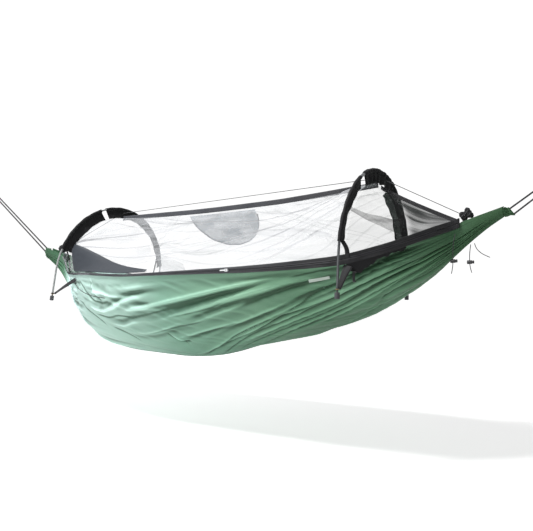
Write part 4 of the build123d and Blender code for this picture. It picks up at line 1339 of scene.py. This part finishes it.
def make_stitches(name, side, sign, thread):
    """One run of lockstitch along the tape, each stitch a small raised lozenge."""
    length, gap, radius = 3.0, 1.6, 0.28
    vertices, faces = [], []
    x = ZIP_FOOT_X + 10
    while x < ZIP_END_X - 10:
        y, z = rim(x)
        y2, z2 = rim(x + length)
        v = side * (y + TAPE_V + 1.15)
        v2 = side * (y2 + TAPE_V + 1.15)
        up = sign * (ZIP_HALF_GAP + zip_height(x) * 0.72)
        base = len(vertices)
        a, b = np.array((x, v, z + up)), np.array((x + length, v2, z2 + up))
        mid = (a + b) / 2 + (0, side * radius, 0)
        vertices += [a, mid + (0, 0, radius), b, mid - (0, 0, radius), mid + (0, side * radius, 0)]
        faces += [(base, base + 1, base + 4), (base + 1, base + 2, base + 4),
                  (base + 2, base + 3, base + 4), (base + 3, base, base + 4)]
        x += length + gap
    obj = link_mesh(name, row(np.array(vertices)).tolist(), faces, thread)
    finish_piece(obj)


def make_trim(cloth, label_cloth):
    deep, tall, wall = 13.0, 34.0, 1.75
    x, y, z = wall_point(790.0, -190.0, deep / 2 + 0.8)
    z -= tall / 2
    loop = dense([
        (x, y + deep / 2 - wall / 2, z + tall / 2 - 4), (x, y + 1, z + tall / 2 - 0.9),
        (x, y - deep / 2 + 3, z + tall / 2 - 1.5), (x, y - deep / 2 + wall / 2, z + tall / 2 - 8),
        (x, y - deep / 2 + wall / 2, z), (x, y - deep / 2 + wall / 2, z - tall / 2 + 8),
        (x, y - deep / 2 + 3.5, z - tall / 2 + 1.4), (x, y + 1, z - tall / 2 + 0.9),
        (x, y + deep / 2 - wall / 2, z - tall / 2 + 4),
    ], 2.0)
    tab = ribbon("webbing_tab_loop", loop, (1.0, 0.0, 0.0), 4.5, cloth, 1.5, 4)
    finish_piece(tab, ["webbing_tab_loop"])
    label_first_x, label_last_x = 640, 712
    rows = []
    for x in np.linspace(label_first_x, label_last_x, 22):
        y, z = rim(x)
        depth = z - belly(x)
        rows.append([
            (x, -y * math.cos(a) - 2.1 - 0.5 * math.sin(x / 9.0), z - depth * math.sin(a))
            for a in np.linspace(0.25, 0.30, 8)
        ])
    label = grid("blank_label", row(np.array(rows)), label_cloth, 0.5)
    finish_piece(label, ["blank_label"])


# ---- put it together ----
make_camera()
make_studio()
make_cords(braided("cord_sheath", (0.02, 0.02, 0.022)))
green = make_bed()
make_hem("head", green)
make_hem("foot", green)
far_grey = net_fabric("far_gusset_mesh", (0.62, 0.63, 0.66), 0.10, 0.22, (3.0, 22.0, 1.0))
nets = {
    "near": net_fabric("near_mesh", (0.70, 0.71, 0.74), 0.26, 0.50, (1.2, 22.0, 1.0), 0.12, gathered=True),
    "far": net_fabric("far_mesh", (0.66, 0.67, 0.70), 0.16, 0.34, (1.2, 22.0, 1.0), -0.12, gathered=True),
}
end_nets = {
    "head": net_fabric("head_end_mesh", (0.045, 0.045, 0.05), 0.42, 0.95, (2.0, 30.0, 1.0), gathered=True),
    "foot": net_fabric("foot_end_mesh", (0.50, 0.52, 0.56), 0.06, 0.40, (2.0, 12.0, 1.0)),
}
pocket_net = net_fabric("pocket_net", (0.10, 0.18, 0.25), 0.55, 0.88, (9.0, 14.0, 1.0))
grey = plain_weave(Shader("coated_grey", roughness=0.5, sheen=0.1), (0.030, 0.036, 0.046), 0.0008)
sleeve_shader = Shader("sleeve_weave", roughness=0.75, sheen=0.08, specular=0.25)
sleeve_cloth = plain_weave(sleeve_shader, (0.010, 0.010, 0.011), 0.0011, 0.0002)
tape = webbing("zip_tape", (0.016, 0.016, 0.018), (0.16, 0.165, 0.18))
ridge_web = webbing("ridge_webbing", (0.032, 0.032, 0.037), (0.055, 0.058, 0.068))
strap_web = webbing("strap_webbing", (0.018, 0.018, 0.020))
thread = hard("thread", (0.05, 0.05, 0.055), 0.7)
label_cloth = plain_weave(Shader("label_satin", roughness=0.5, sheen=0.1), (0.40, 0.47, 0.42), 0.0005)
make_nets(nets, pocket_net, grey, far_grey, tape)
make_end_nets(end_nets, strap_web)
make_net_fold(net_fabric("folded_mesh", (0.05, 0.05, 0.055), 0.40, 0.80, (4.0, 40.0, 1.0)))
make_net_bindings(sleeve_cloth)
for end in ARCHES:
    bunched = Shader(f"{end}_bunched_net", roughness=0.85)
    make_bunch(end, plain_weave(bunched, (0.03, 0.03, 0.033), 0.0016, 0.0005))
make_arches(sleeve_cloth, strap_web)
make_ridge_tape(ridge_web)
make_zip_tapes(tape, thread)
# painted shadow: a black sheet under the near zip
make_gap_shadow(sleeve_cloth)
make_trim(strap_web, label_cloth)

# by part of a node's name; the first that fits is taken
CAD_LOOKS = {
    "zip_coil": hard("coil_nylon", (0.035, 0.035, 0.04), 0.45, grain=200.0),
    "zip_slider": hard("slider_enamel", (0.80, 0.81, 0.82), 0.3, grain=120.0, coat=0.3),
    "zip_puller": hard("puller_enamel", (0.80, 0.81, 0.82), 0.3, grain=120.0, coat=0.3),
    "pole_ferrules": hard("ferrule_alloy", (0.62, 0.63, 0.65), 0.32, 1.0, grain=300.0),
    "pole_tips": hard("tip_rubber", (0.055, 0.056, 0.062), 0.6, grain=300.0),
    "shock_cords": braided("elastic_braid", (0.35, 0.35, 0.36)),
    "eyelets": hard("brass", (0.72, 0.52, 0.22), 0.28, 1.0, grain=250.0),
    "head_pole": hard("pole_dark", (0.06, 0.065, 0.07), 0.28, coat=0.4),
    "foot_pole": hard("pole_light", (0.30, 0.31, 0.31), 0.25, coat=0.5),
    "spring": hard("spring_wire", (0.55, 0.55, 0.56), 0.3, 1.0, grain=400.0),
    "cord_lock": hard("lock_plastic", (0.018, 0.018, 0.020), 0.42, grain=220.0),
    "ridge_cord": braided("ridge_sheath", (0.03, 0.03, 0.033)),
}
for node, obj in NODES.items():
    if obj.hide_render:
        continue
    fitting = [look for key, look in CAD_LOOKS.items() if key in node]
    if not fitting:
        raise ValueError(f"no look for {node}")
    obj.data.materials.clear()
    obj.data.materials.append(fitting[0])
